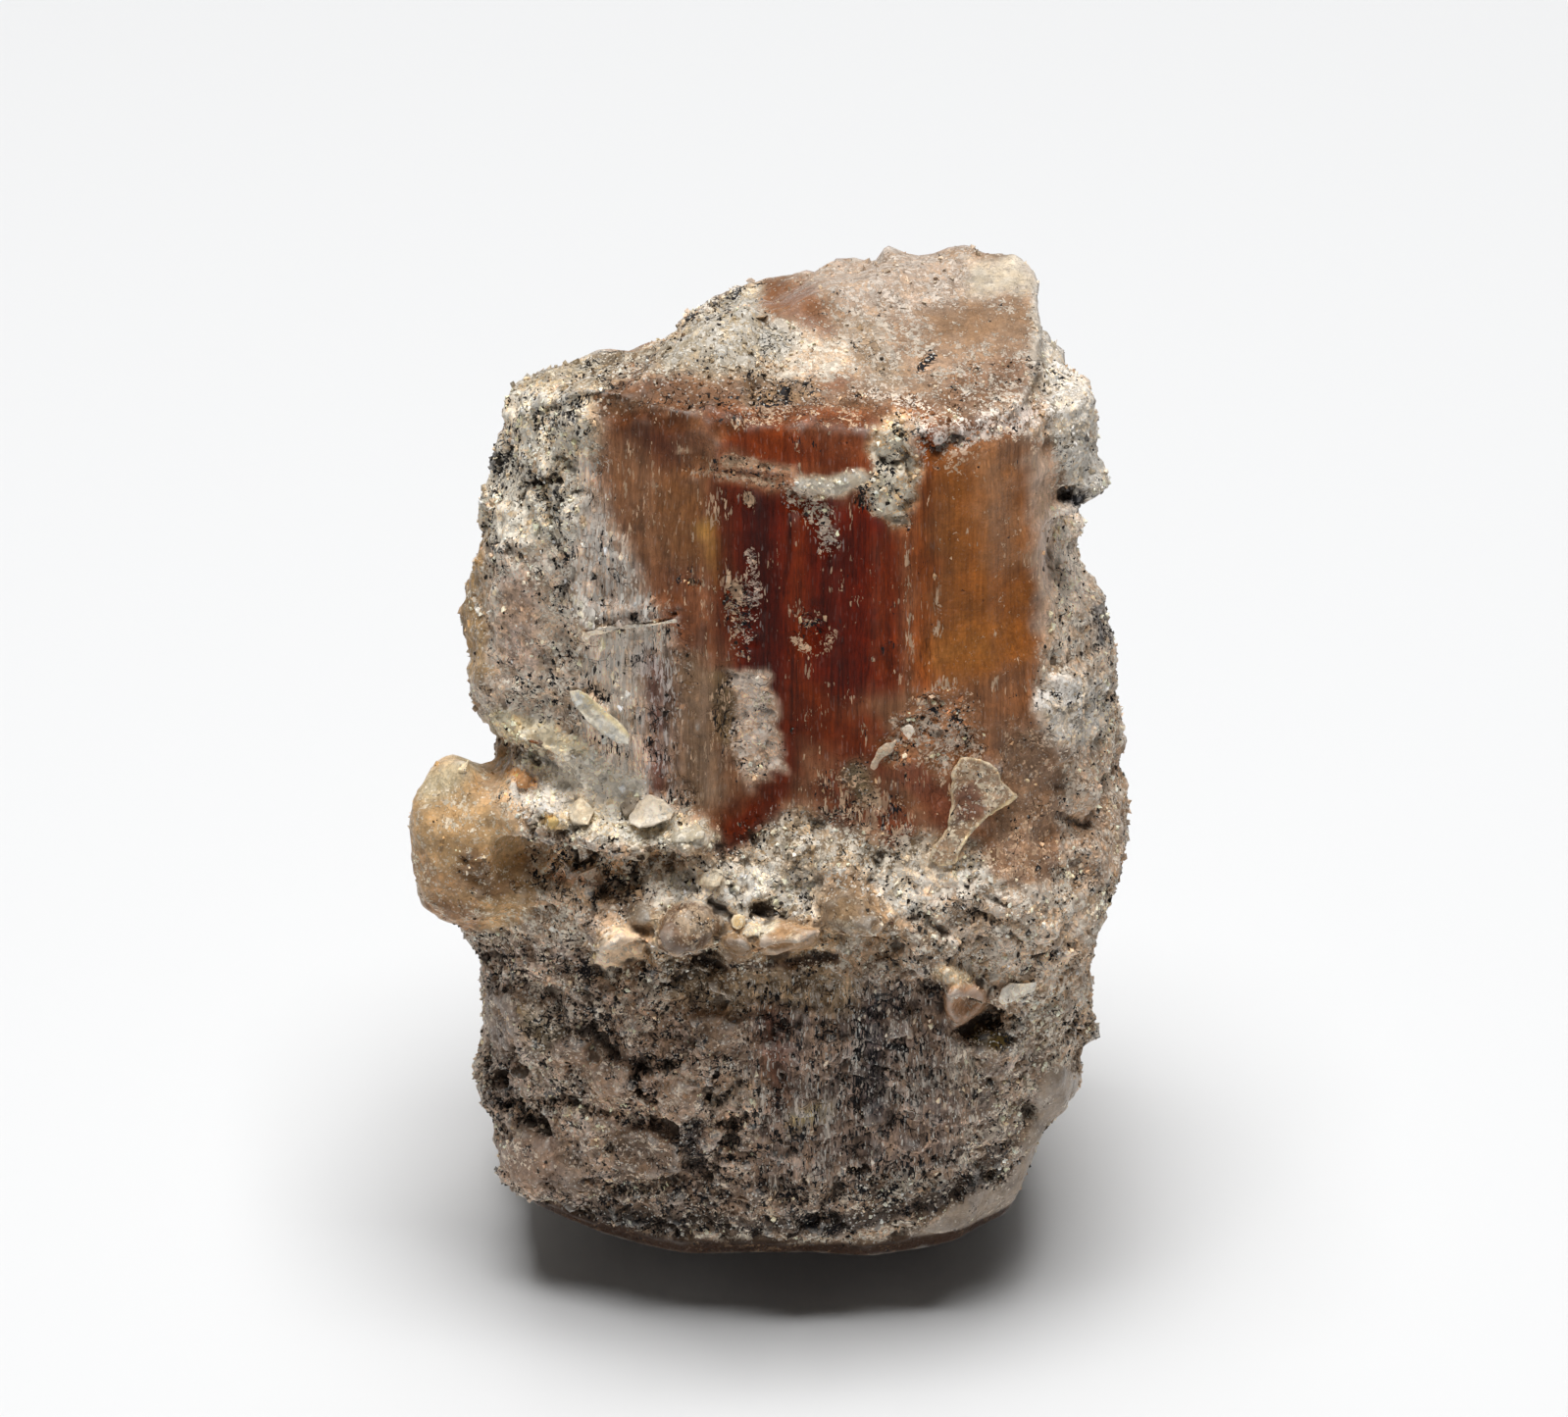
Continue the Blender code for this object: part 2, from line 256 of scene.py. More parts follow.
# Later zones lie over earlier ones.
frontZones = [
    # upper left crust
    area([(490, 380), (620, 360), (618, 470), (600, 560), (470, 560), (480, 470)], 20, (178, 163, 143), 0.74,
          0.38, grain=(230, 221, 204), grit=0.9),
    line([(590, 382), (640, 378), (700, 374), (760, 384), (800, 394)], 25, 10, (116, 103, 87), 0.52, 0.34,
          grain=(160, 150, 134), grit=0.8),
    line([(530, 388), (600, 376)], 12, 10, (122, 112, 96), 0.5, 0.36, grain=(160, 152, 138)),
    line([(556, 428), (582, 414)], 12, 10, dark=0.72),
    line([(536, 456), (548, 492)], 12, 10, dark=0.7),
    line([(620, 388), (640, 396)], 9, 10, dark=0.7),
    line([(513, 430), (508, 470)], 14, 10, dark=0.55),
    # left middle
    area([(470, 560), (600, 560), (590, 720), (560, 760), (470, 760)], 18, (156, 140, 126), 0.52, 0.36,
          grain=(210, 199, 183), streak=0.3, grit=0.75),
    line([(482, 560), (478, 620), (484, 680)], 16, 10, (126, 104, 76), 0.2, 0.12, grit=0.6),
    line([(525, 600), (530, 660)], 20, 10, (150, 130, 116), 0.3, 0.2),
    line([(578, 580), (570, 614)], 12, 10, dark=0.72),
    line([(500, 555), (515, 560)], 6, 10, dark=0.8),
    # upright grey streaks left of the bare face
    area([(592, 470), (650, 470), (668, 560), (672, 640), (600, 640), (584, 560)], 18, (158, 142, 130), 0.6,
          0.28, grain=(220, 212, 202), streak=0.9, grit=0.6),
    area([(600, 650), (690, 640), (700, 780), (690, 830), (600, 820), (590, 740)], 16, (196, 176, 158), 0.7,
          0.26, grain=(232, 220, 206), streak=0.9, grit=0.6),
    line([(602, 636), (640, 631), (692, 626)], 1, 2.5, (60, 50, 44), 0.1, 0.85),
    line([(690, 626), (704, 640), (712, 660)], 8, 8, pale=0.3, dark=0.66, grit=0.7),
    # the bare face
    area([(612, 418), (650, 410), (720, 408), (760, 412), (850, 402), (940, 404), (965, 440), (1040, 440),
          (1068, 460), (1078, 540), (1072, 640), (1056, 700), (1075, 740), (1082, 830), (1076, 905),
          (1015, 905), (1000, 860), (940, 850), (905, 862), (862, 842), (812, 818), (786, 830), (745, 862),
          (722, 852), (704, 806), (690, 770), (700, 700), (695, 640), (660, 600), (625, 540), (612, 470)],
          16, (116, 80, 56), 0.07, 0.1, grain=(180, 150, 122), streak=0.6, grit=0.08),
    line([(655, 415), (670, 460)], 32, 24, (82, 45, 29), 0.14),
    line([(668, 478), (676, 520)], 9, 14, (96, 46, 26), 0.12),
    line([(674, 424), (686, 421)], 1.5, 3, (168, 130, 104), 0.6),
    line([(690, 460), (704, 458)], 1.5, 3, (168, 130, 104), 0.6),
    line([(668, 546), (682, 543)], 1.5, 3, (168, 130, 104), 0.6),
    line([(690, 536), (704, 544)], 1.5, 3, (160, 118, 90), 0.6),
    line([(622, 412), (700, 408), (762, 414)], 13, 9, (80, 54, 36), 0.36, 0.3, grit=0.4),
    line([(770, 412), (860, 408), (940, 410)], 12, 9, (98, 72, 52), 0.46, 0.36, grit=0.6),
    line([(640, 480), (690, 540)], 30, 22, (118, 82, 57), 0.2),
    line([(700, 500), (704, 560)], 22, 20, (114, 75, 45), 0.12),
    line([(690, 600), (712, 650)], 28, 18, (109, 67, 44), 0.16),
    line([(700, 690), (712, 800)], 26, 16, (122, 98, 78), 0.22),
    line([(666, 680), (672, 800)], 17, 20, (86, 58, 50), 0.34, 0.42, grain=(176, 160, 154), streak=1),
    line([(724, 540), (744, 585)], 12, 10, (160, 118, 62), 0.2),
    line([(690, 405), (760, 420)], 14, 16, (128, 84, 54), 0.3),
    area([(735, 425), (880, 430), (890, 480), (800, 478), (735, 462)], 14, (108, 46, 19), 0, 0.05),
    line([(840, 440), (870, 460)], 20, 18, (116, 60, 34), -0.05),
    area([(730, 495), (895, 500), (912, 540), (908, 700), (870, 716), (800, 730), (744, 690), (734, 600)],
          20, (86, 21, 3), -0.05, 0.06, streak=1, grit=0.04),
    line([(772, 520), (778, 690)], 18, 16, (56, 11, 3), -0.05),
    line([(738, 500), (742, 640)], 10, 14, (78, 30, 12), 0.2),
    line([(850, 560), (858, 700)], 16, 16, (72, 16, 3), -0.05),
    line([(812, 500), (815, 700)], 9, 12, (104, 36, 7), -0.08),
    line([(905, 560), (908, 690)], 14, 16, (104, 37, 7), -0.08),
    line([(826, 730), (880, 762)], 30, 22, (94, 34, 5), -0.08),
    line([(800, 740), (800, 800), (748, 846)], 20, 20, (78, 25, 5), 0.02),
    line([(860, 806), (905, 842)], 28, 20, (96, 52, 34), 0.46, 0.42, grit=0.5),
    line([(940, 450), (942, 690)], 15, 16, (120, 60, 22), 0.02, streak=1),
    area([(952, 470), (1060, 470), (1066, 640), (1040, 690), (960, 700)], 24, (130, 77, 33), 0, 0.03,
          streak=0.4, grit=0.05),
    line([(966, 664), (1000, 658)], 16, 26, (140, 88, 40), 0.04),
    line([(1012, 470), (1024, 560)], 18, 20, (140, 98, 66), 0.08),
    line([(1062, 470), (1070, 640)], 13, 12, (158, 134, 116), 0.25),
    line([(1020, 720), (1040, 700)], 22, 16, (126, 82, 52), 0.12),
    area([(1018, 740), (1072, 735), (1080, 830), (1074, 905), (1012, 900), (1012, 820)], 12, (118, 93, 74),
          0.32, 0.2, streak=0.4, grit=0.4),
    line([(930, 790), (968, 830)], 18, 12, (106, 62, 44), 0.3, 0.25),
    line([(634, 408), (700, 402), (760, 404), (850, 400), (950, 408)], 15, 12, (86, 62, 45), 0.34, 0.3,
          grain=(120, 100, 84), grit=0.4),
    line([(728, 428), (800, 426), (880, 430)], 12, 10, (86, 50, 30), 0.15),
    line([(640, 432), (690, 428)], 10, 10, (80, 48, 30), 0.1),
    line([(900, 424), (960, 428), (1030, 436)], 9, 10, (98, 66, 46), 0.3),
    # crust that lies on the bare face
    line([(908, 446), (912, 512)], 20, 9, (176, 152, 122), 0.8, 0.42, grain=(236, 224, 202), streak=0,
          grit=0.9),
    line([(818, 492), (846, 495), (874, 486)], 10, 5, (228, 210, 184), 0.98, -0.1, grain=(244, 232, 212),
          streak=0, grit=0.6),
    line([(740, 470), (770, 474), (808, 480)], 5, 5, (166, 128, 102), 0.66, 0.3, streak=0, grit=0.5),
    line([(735, 484), (770, 490), (808, 492)], 6, 5, (144, 104, 80), 0.58, 0.3, streak=0, grit=0.5),
    line([(716, 478), (765, 482), (808, 487)], 1, 2.2, pale=0, dark=0.8, grit=0.5),
    line([(812, 510), (834, 520), (846, 552)], 13, 11, pale=0.56, dark=0.3, grain=(210, 192, 172), streak=0,
          grit=0.7),
    line([(896, 518), (922, 530)], 9, 6, pale=0.7, dark=0.36, streak=0, grit=0.8),
    line([(880, 500), (884, 512)], 8, 6, pale=0.3, dark=0.78, grit=0.8),
    line([(766, 565), (770, 600), (764, 650)], 8, 9, pale=0.56, dark=0.3, grain=(184, 160, 144), streak=0.2,
          grit=0.6),
    line([(750, 600), (756, 660)], 12, 12, pale=0.46, dark=0.4, streak=0.2, grit=0.6),
    area([(745, 690), (782, 688), (790, 740), (798, 782), (765, 802), (745, 760)], 10, (190, 164, 143), 0.82,
          0.26, grain=(222, 204, 188), streak=0.1, grit=0.75),
    line([(736, 690), (742, 750)], 11, 9, (104, 84, 60), 0.4, 0.5),
    line([(822, 632), (832, 636)], 9, 9, pale=0.5, dark=0.64, streak=0, grit=0.3),
    line([(808, 652), (826, 664), (842, 660), (850, 644)], 5, 7, pale=0.54, dark=0.2, streak=0),
    line([(770, 405), (800, 400), (825, 395)], 12, 8, (116, 96, 76), 0.5, 0.6, streak=0, grit=0.8),
    line([(755, 428), (800, 418), (830, 424)], 7, 8, pale=0.54, dark=0.36, grit=0.6),
    line([(812, 430), (812, 480)], 2.5, 4, pale=0.62, dark=0.1, grit=0.3),
    line([(925, 560), (928, 680)], 2, 4, pale=0.5, dark=0.1, grit=0.3),
    line([(955, 585), (957, 645)], 3, 5, pale=0.62, dark=0.1, grit=0.3),
    line([(856, 412), (872, 425)], 10, 8, pale=0.6, dark=0.2, grit=0.6),
    line([(876, 385), (915, 400), (940, 420)], 16, 12, pale=0.58, dark=0.34, grain=(190, 172, 154), streak=0,
          grit=0.7),
    line([(950, 452), (1000, 438), (1045, 424), (1080, 418)], 14, 10, pale=0.62, dark=0.26,
          grain=(206, 190, 178), streak=0, grit=0.9),
    line([(970, 470), (985, 455)], 14, 10, pale=0.56, dark=0.2, streak=0),
    line([(700, 478), (722, 482)], 5, 5, pale=0.6, dark=0.3, grit=0.6),
    line([(757, 505), (764, 512)], 5, 5, pale=0.7, dark=0.3, grit=0.6),
    line([(690, 590), (712, 594)], 3, 3, pale=0.5, dark=0.7, grit=0.6),
    line([(935, 712), (965, 698)], 8, 8, pale=0.5, dark=0.5, grit=0.6),
    area([(886, 765), (915, 735), (950, 712), (985, 712), (1004, 745), (988, 785), (960, 790), (930, 770),
          (905, 785)], 14, (138, 99, 72), 0.54, 0.4, grain=(200, 180, 160), streak=0, grit=0.8),
    line([(872, 788), (882, 812)], 12, 9, (104, 90, 70), 0.46, 0.46, streak=0, grit=0.7),
    line([(893, 812), (898, 826)], 6, 5, pale=0.66, dark=0.3, grit=0.6),
    area([(800, 834), (860, 840), (905, 858), (950, 852), (1000, 880), (960, 900), (720, 890), (745, 870),
          (785, 842)], 14, (142, 126, 106), 0.56, 0.4, streak=0, grit=1),
    # the broken top, which takes more light than the front
    area([(756, 290), (820, 262), (900, 246), (1000, 240), (1066, 250), (1080, 330), (1068, 400),
          (1000, 412), (945, 410), (905, 392), (850, 402), (835, 378), (800, 342), (762, 332)], 12,
          (126, 104, 86), 0.42, 0.06, grain=(152, 140, 126), streak=0, grit=0.3),
    area([(768, 292), (828, 280), (850, 318), (838, 345), (785, 336)], 12, (110, 77, 55), 0.18, 0.08,
          grit=0.15),
    area([(815, 276), (900, 252), (990, 256), (1000, 305), (930, 320), (860, 314)], 16, (139, 122, 108),
          0.56, 0.05, grain=(163, 151, 139), grit=0.4),
    area([(985, 268), (1040, 258), (1054, 292), (1012, 306), (985, 300)], 8, (162, 152, 137), 0.3, 0.02,
          grit=0.08),
    area([(944, 318), (1000, 306), (1046, 312), (1050, 345), (960, 352)], 14, (114, 91, 71), 0.12, 0.04,
          grit=0.1),
    line([(1064, 262), (1068, 320), (1062, 384)], 13, 10, (146, 138, 126), 0.6, 0.16, grit=0.7),
    line([(835, 352), (850, 385)], 15, 12, (108, 76, 58), 0.24, 0.1),
    area([(762, 330), (800, 322), (874, 350), (872, 378), (800, 382), (756, 366)], 12, (158, 139, 120), 0.68,
          0.16, grain=(180, 168, 152), streak=0, grit=0.6),
    line([(880, 336), (902, 385)], 17, 14, (124, 108, 92), 0.52, 0.24, grit=0.5),
    line([(975, 405), (1030, 384)], 22, 14, (98, 76, 60), 0.42, 0.26, grit=0.5),
    line([(940, 374), (950, 364)], 6, 5, pale=0.2, dark=0.85, grit=0.8),
    area([(668, 350), (700, 326), (740, 296), (768, 290), (778, 326), (806, 342), (800, 366), (740, 372),
          (680, 366)], 9, (140, 130, 114), 0.6, 0.26, grain=(160, 154, 144), streak=0, grit=0.7),
    line([(735, 304), (775, 288)], 7, 6, pale=0.3, dark=0.74),
    line([(700, 326), (735, 312)], 8, 8, dark=0.56),
    line([(778, 386), (790, 404)], 14, 9, pale=0.4, dark=0.74, grit=0.8),
    # right side
    area([(1060, 330), (1100, 370), (1132, 420), (1132, 520), (1090, 520), (1080, 450), (1062, 400)], 8,
          (158, 149, 137), 0.6, 0.24, grain=(206, 199, 189), streak=0.4, grit=0.7),
    line([(1062, 300), (1066, 330)], 9, 6, (142, 136, 128), 0.5, 0.1),
    line([(1070, 385), (1085, 400)], 12, 8, dark=0.5),
    line([(1088, 508), (1104, 512)], 9, 6, (70, 72, 78), 0.1, 0.7),
    area([(1078, 520), (1130, 520), (1160, 700), (1150, 700), (1062, 700), (1074, 620)], 10, (162, 144, 127),
          0.46, 0.28, grain=(208, 196, 180), streak=0.4, grit=0.75),
    line([(1086, 530), (1092, 600)], 15, 12, (192, 178, 166), 0.58),
    line([(1122, 622), (1130, 650)], 10, 7, (96, 92, 90), dark=0.62),
    area([(1058, 705), (1085, 690), (1120, 690), (1140, 720), (1110, 762), (1065, 755)], 10, (170, 160, 148),
          0.66, 0.3, grain=(224, 217, 208), streak=0.1),
    area([(1084, 765), (1150, 760), (1156, 900), (1130, 1010), (1090, 930), (1084, 860)], 10,
          (143, 122, 104), 0.42, 0.3, grain=(204, 188, 170), streak=0.3, grit=0.8),
    line([(1077, 832), (1092, 838), (1104, 841)], 1.6, 2.5, (40, 34, 30), 0, 1),
    line([(1104, 842), (1146, 854)], 0.8, 2, pale=0.9, dark=0.05),
    line([(1128, 920), (1134, 950)], 13, 8, (90, 92, 90), dark=0.62),
    # the ledge at the left and the notch above it
    line([(600, 700), (616, 708)], 7, 5, pale=0.1, dark=0.85),
    # painted shadow below the mica lens
    line([(602, 752), (622, 764), (640, 768)], 4, 5, pale=0.3, dark=0.6),
    line([(508, 738), (560, 752), (596, 772)], 14, 6, (216, 198, 164), 0.76, 0.14, grain=(236, 222, 192),
          streak=0, grit=0.7),
    area([(520, 775), (600, 775), (650, 800), (660, 830), (560, 840), (525, 820)], 8, (222, 210, 194), 0.72,
          0.14, grain=(242, 234, 222), streak=0.1),
    line([(540, 784), (600, 790), (640, 802)], 15, 8, (238, 228, 210), 0.78, 0.1, grain=(244, 236, 222),
          streak=0.1),
    line([(526, 788), (540, 798)], 8, 4, (206, 156, 104), 0.2, 0.1),
    line([(560, 836), (570, 840)], 6, 4, (222, 190, 130), 0.2, 0.1),
    line([(590, 835), (660, 845), (712, 852)], 18, 7, (166, 155, 136), 0.6, 0.22, grain=(228, 220, 204),
          streak=0),
    # painted shade: these three lines darken the ledge's overhanging underside
    line([(545, 868), (600, 885), (680, 880)], 11, 8, (150, 126, 102), 0.4, 0.5, streak=0),
    line([(562, 894), (605, 898)], 7, 6, (128, 98, 76), 0.24, 0.42),
    line([(535, 885), (560, 905), (600, 915), (650, 912)], 8, 6, (130, 110, 90), 0.34, 0.52),
    # the band below the bare face
    area([(660, 890), (720, 880), (1000, 890), (1060, 920), (1040, 940), (880, 930), (780, 945), (700, 935)],
          8, (187, 176, 161), 0.62, 0.34, grain=(232, 226, 214), streak=0.15, grit=1),
    line([(940, 880), (970, 886)], 16, 8, (176, 160, 140), 0.4, 0.2),
    line([(768, 926), (782, 928)], 7, 4, (40, 34, 28), 0.05, 0.7),
    line([(860, 905), (900, 950)], 24, 14, (136, 114, 92), 0.26, 0.24),
    area([(930, 900), (1120, 900), (1140, 960), (1120, 1060), (1040, 1010), (960, 980)], 14, (156, 138, 121),
          0.53, 0.33, grain=(212, 200, 184)),
    line([(600, 985), (624, 956), (662, 930)], 12, 8, (164, 140, 114), 0.4, 0.24),
    line([(650, 960), (720, 960), (840, 960)], 22, 10, (160, 136, 108), 0.34, 0.22),
    # painted shade under the lip, in these three lines
    line([(640, 988), (670, 992), (700, 990)], 7, 8, (90, 75, 64), 0.24, 0.6),
    line([(722, 980), (736, 1000)], 7, 4, (44, 36, 34), 0.1, 0.75),
    line([(800, 985), (850, 975)], 5, 4, (74, 54, 46), 0.1, 0.6),
    # the darker lower face
    area([(480, 960), (600, 960), (620, 1010), (620, 1230), (500, 1230), (470, 1090)], 16, (137, 120, 108),
          0.38, 0.58, grain=(198, 182, 163), streak=0.1),
    area([(610, 1010), (760, 1005), (860, 1000), (870, 1240), (620, 1240)], 18, (133, 113, 99), 0.36, 0.55,
          grain=(190, 172, 152), streak=0.3),
    area([(770, 1000), (960, 1000), (1000, 1100), (980, 1200), (780, 1210), (760, 1100)], 22, (106, 91, 82),
          0.32, 0.52, grain=(172, 160, 148), streak=0.8),
    line([(700, 1000), (860, 1010)], 22, 14, (116, 100, 82), 0.3, 0.36),
    line([(1000, 1080), (1050, 1090), (1010, 1170)], 34, 20, (122, 108, 98), 0.42, 0.38,
          grain=(194, 180, 162)),
    line([(786, 1040), (792, 1120)], 14, 18, (80, 56, 46), 0.24, 0.48, streak=1),
    line([(888, 1030), (892, 1130)], 8, 14, (64, 58, 60), 0.2, 0.62, streak=1),
    line([(905, 1066), (925, 1068)], 4, 2, (24, 20, 20), 0, 1),
    line([(812, 1142), (840, 1132)], 8, 10, (118, 106, 76), 0.4, 0.5),
    line([(540, 1040), (560, 1060)], 16, 18, (116, 104, 86), 0.36, 0.4),
    line([(720, 1120), (770, 1115)], 14, 14, (118, 102, 88), 0.42, 0.36),
    line([(700, 1130), (706, 1180)], 14, 16, (68, 62, 60), 0.2, 0.66),
    line([(556, 1180), (585, 1205)], 18, 14, (112, 97, 86), 0.24, 0.24, grit=0.6),
    line([(620, 1214), (760, 1222), (900, 1214)], 18, 16, (102, 87, 76), dark=0.62),
    line([(555, 1238), (700, 1246), (850, 1250), (950, 1226), (1020, 1190)], 11, 8, (76, 66, 59), 0.26,
          0.64),
    line([(1060, 940), (1090, 960), (1100, 1000)], 16, 10, dark=0.26),
    line([(990, 1046), (1006, 1042)], 10, 8, (60, 46, 32), 0.14, 0.72, grit=0.9),
    line([(1000, 1055), (1020, 1060)], 10, 6, (74, 62, 34), 0.2, 0.6),
    # the side crystal
    area([(405, 770), (470, 755), (500, 790), (528, 830), (535, 875), (520, 900), (490, 900), (460, 885),
          (440, 940), (400, 930)], 8, (156, 128, 94), 0.22, 0.04, grain=(190, 176, 154), streak=0, grit=0.34,
          within=-0.5),
    line([(440, 800), (475, 778)], 15, 12, (160, 146, 120), 0.25, within=-0.5),
    line([(470, 848), (510, 840)], 10, 8, pale=0.34),
    line([(424, 880), (452, 906), (486, 890)], 12, 12, (140, 110, 80), 0.3, grit=0.5, within=-0.5),
    line([(500, 800), (520, 830)], 12, 10, (168, 142, 114), 0.36, 0.2),
    line([(480, 880), (500, 905), (520, 900)], 13, 9, (108, 84, 60), 0.24, 0.4, grit=0.6),
    line([(440, 925), (480, 935)], 14, 10, (132, 102, 76), 0.24, 0.24, grit=0.5, within=-0.5),
    # the pale foot
    area([(930, 1260), (985, 1222), (1026, 1202), (1048, 1165), (1058, 1110), (1072, 1092), (1120, 1090),
          (1110, 1200), (1040, 1320), (930, 1320)], 5, (137, 125, 114), 0.14, 0.08, grain=(196, 186, 172),
          streak=0, grit=0.08),
]

# Rounded lumps that swell out of the crust, with what is painted on them.
lumps = [
    lump([(729, 955), (740, 949), (756, 951), (768, 962), (768, 976), (752, 985), (736, 978)], 4, 14, 0.3,
          (118, 96, 74), 0.26, 0.08, grain=(160, 140, 116), streak=0, grit=0.25),
    lump([(767, 962), (774, 948), (789, 937), (805, 936), (820, 940), (835, 944), (839, 955), (831, 965),
          (810, 972), (794, 977), (778, 975)], 4, 8, 0.42, (140, 112, 84), 0.3, 0.04, grain=(172, 150, 122),
          streak=0, grit=0.22),
    lump([(752, 949), (763, 943), (780, 940), (794, 938), (786, 950), (776, 957), (762, 955)], 3, 7, 0.1,
          (176, 164, 142), 0.4, 0.02, grain=(190, 182, 166), streak=0, grit=0.4),
    lump([(666, 950), (667, 934), (678, 922), (698, 914), (718, 919), (734, 933), (738, 948), (728, 963),
          (712, 974), (696, 980), (680, 975), (669, 964)], 5, 20, 0.5, (90, 70, 54), 0.3, 0.14,
          grain=(148, 128, 106), streak=0, grit=0.3),
    area([(690, 930), (712, 924), (730, 940), (726, 954), (704, 952)], 8, (128, 114, 98), 0.56, 0.24,
          grit=0.6),
    lump([(832, 918), (846, 908), (862, 905), (886, 912), (900, 934), (888, 952), (860, 956), (838, 942)], 8,
          22, 0.28, (114, 96, 76), 0.3, 0.2, grain=(150, 134, 112), streak=0, grit=0.35),
    lump([(603, 984), (607, 967), (617, 955), (632, 946), (650, 950), (660, 962), (655, 974), (636, 979),
          (616, 990)], 4, 14, 0.4, (190, 166, 140), 0.32, 0.1, grain=(180, 164, 144), streak=0, grit=0.3),
    lump([(641, 935), (645, 925), (654, 921), (663, 927), (665, 936), (658, 944), (647, 944)], 3, 9, 0.26,
          (122, 110, 96), 0.3, 0.06, grain=(160, 148, 132), grit=0.3),
    lump([(961, 1028), (962, 1016), (970, 1005), (982, 1000), (995, 1002), (1005, 1011), (1007, 1021),
          (998, 1034), (988, 1042), (978, 1046), (968, 1040)], 4, 10, 0.46, (138, 106, 82), 0.26, 0.06,
          grain=(166, 146, 126), streak=0, grit=0.18),
    lump([(955, 992), (964, 983), (980, 986), (992, 997), (984, 1006), (968, 1005)], 5, 9, 0.26,
          (170, 146, 116), 0.56, 0.1, grain=(198, 182, 154), grit=0.7),
    # smooth plates in the darker lower face
    lump([(486, 1020), (500, 1004), (522, 1012), (530, 1045), (516, 1076), (496, 1070)], 6, 12, 0.2,
          (120, 106, 96), 0.24, 0.2, grit=0.55),
    lump([(504, 1168), (530, 1150), (562, 1158), (568, 1192), (546, 1216), (516, 1206)], 7, 18, 0.34,
          (118, 99, 86), 0.22, 0.14, grit=0.45),
    lump([(598, 1086), (618, 1077), (642, 1088), (648, 1112), (626, 1124), (602, 1110)], 5, 9, 0.24,
          (124, 104, 89), 0.28, 0.26, grit=0.65),
    lump([(664, 1116), (690, 1098), (716, 1106), (720, 1130), (700, 1146), (672, 1140)], 5, 9, 0.26,
          (124, 104, 89), 0.3, 0.26, grit=0.65),
    lump([(556, 1062), (582, 1052), (602, 1062), (598, 1082), (570, 1088)], 5, 11, 0.2, (124, 104, 89), 0.28,
          0.28, grit=0.65),
    lump([(698, 1040), (730, 1028), (754, 1044), (746, 1070), (714, 1074)], 6, 13, 0.2, (120, 100, 84), 0.3,
          0.3, grit=0.7),
    lump([(620, 1160), (650, 1150), (690, 1164), (700, 1196), (664, 1210), (628, 1196)], 7, 12, 0.22,
          (98, 82, 70), 0.3, 0.36, grit=0.7),
    # pale rims, and dark seams: painted shade in the cracks between the plates and under the lumps
    line([(668, 962), (666, 938), (678, 922), (700, 914), (722, 921)], 1.2, 2.2, (186, 172, 148), 0.6, 0.02),
    line([(603, 986), (608, 966), (619, 953), (636, 945)], 1.4, 2.2, (186, 168, 140), 0.6, 0.02),
    line([(546, 1124), (600, 1132), (650, 1144), (682, 1152)], 3, 6, dark=0.72),
    line([(592, 1022), (600, 1050), (622, 1080)], 2.5, 4, dark=0.8),
    line([(648, 1090), (652, 1116)], 2.5, 4, dark=0.8),
    line([(694, 984), (716, 980), (730, 986), (770, 984), (800, 982), (846, 974)], 2.5, 5, (76, 62, 54),
          dark=0.58),
    line([(520, 1090), (540, 1098)], 3, 4, dark=0.8),
    line([(596, 1210), (640, 1214), (700, 1206)], 3, 6, dark=0.7),
]

backZones = [
    area([(560, 330), (690, 300), (760, 330), (770, 560), (740, 700), (640, 740), (560, 620)], 14,
          (92, 44, 22), 0.06, 0.14, grain=(176, 144, 116), streak=0.8, grit=0.1),
    area([(900, 420), (1040, 400), (1080, 520), (1050, 640), (930, 660)], 14, (116, 68, 36), 0.08, 0.14,
          grain=(190, 158, 128), streak=0.8, grit=0.1),
    line([(620, 1000), (900, 1100)], 160, 60, (104, 90, 80), 0.38, 0.44, grain=(180, 168, 150)),
    line([(760, 860), (800, 900)], 70, 40, (150, 132, 110), 0.55),
]
# The smooth break that the crystal stands on. Its rim runs lower and more ragged at the back.
foot = {
    "top": 2.45, "drop": 1.25, "ragged": (0.16, 0.9), "raggedSize": 1.4, "soft": 0.08, "softSize": 0.4,
    "depths": (-1.5, 2.5),  # from front to back
    # its dark tint is painted shade: this part lies in shadow close to the floor
    "look": look((50, 34, 24), 0.2, 0.2, grain=(100, 80, 62), streak=0, grit=0.08),
}
# The side crystal, all round.
sideCrystal = {
    "center": (-7.33, -2.67, 13.4), "size": (1.95, 2.0, 2.45), "rim": (0.96, 1.16),
    "ragged": (0.10, 0.9, 53.0),  # height, size, seed
    "look": look((156, 128, 94), 0.26, 0.08, grain=(190, 176, 154), streak=0, grit=0.4),
}
# How the crust varies inside a zone: dark plate edges, dark and pale patches, and plates of different tones.
# It is calmer where it is drawn out upright.
# The dark plate edges are painted shade in the grooves between the plates.
crust = {"edges": 0.40, "plates": 0.04, "dark": 0.16, "lessPale": 0.12, "pale": 0.24, "tones": 0.26,
         "darkSize": 1.5, "paleSize": 1.7, "calm": 0.6}

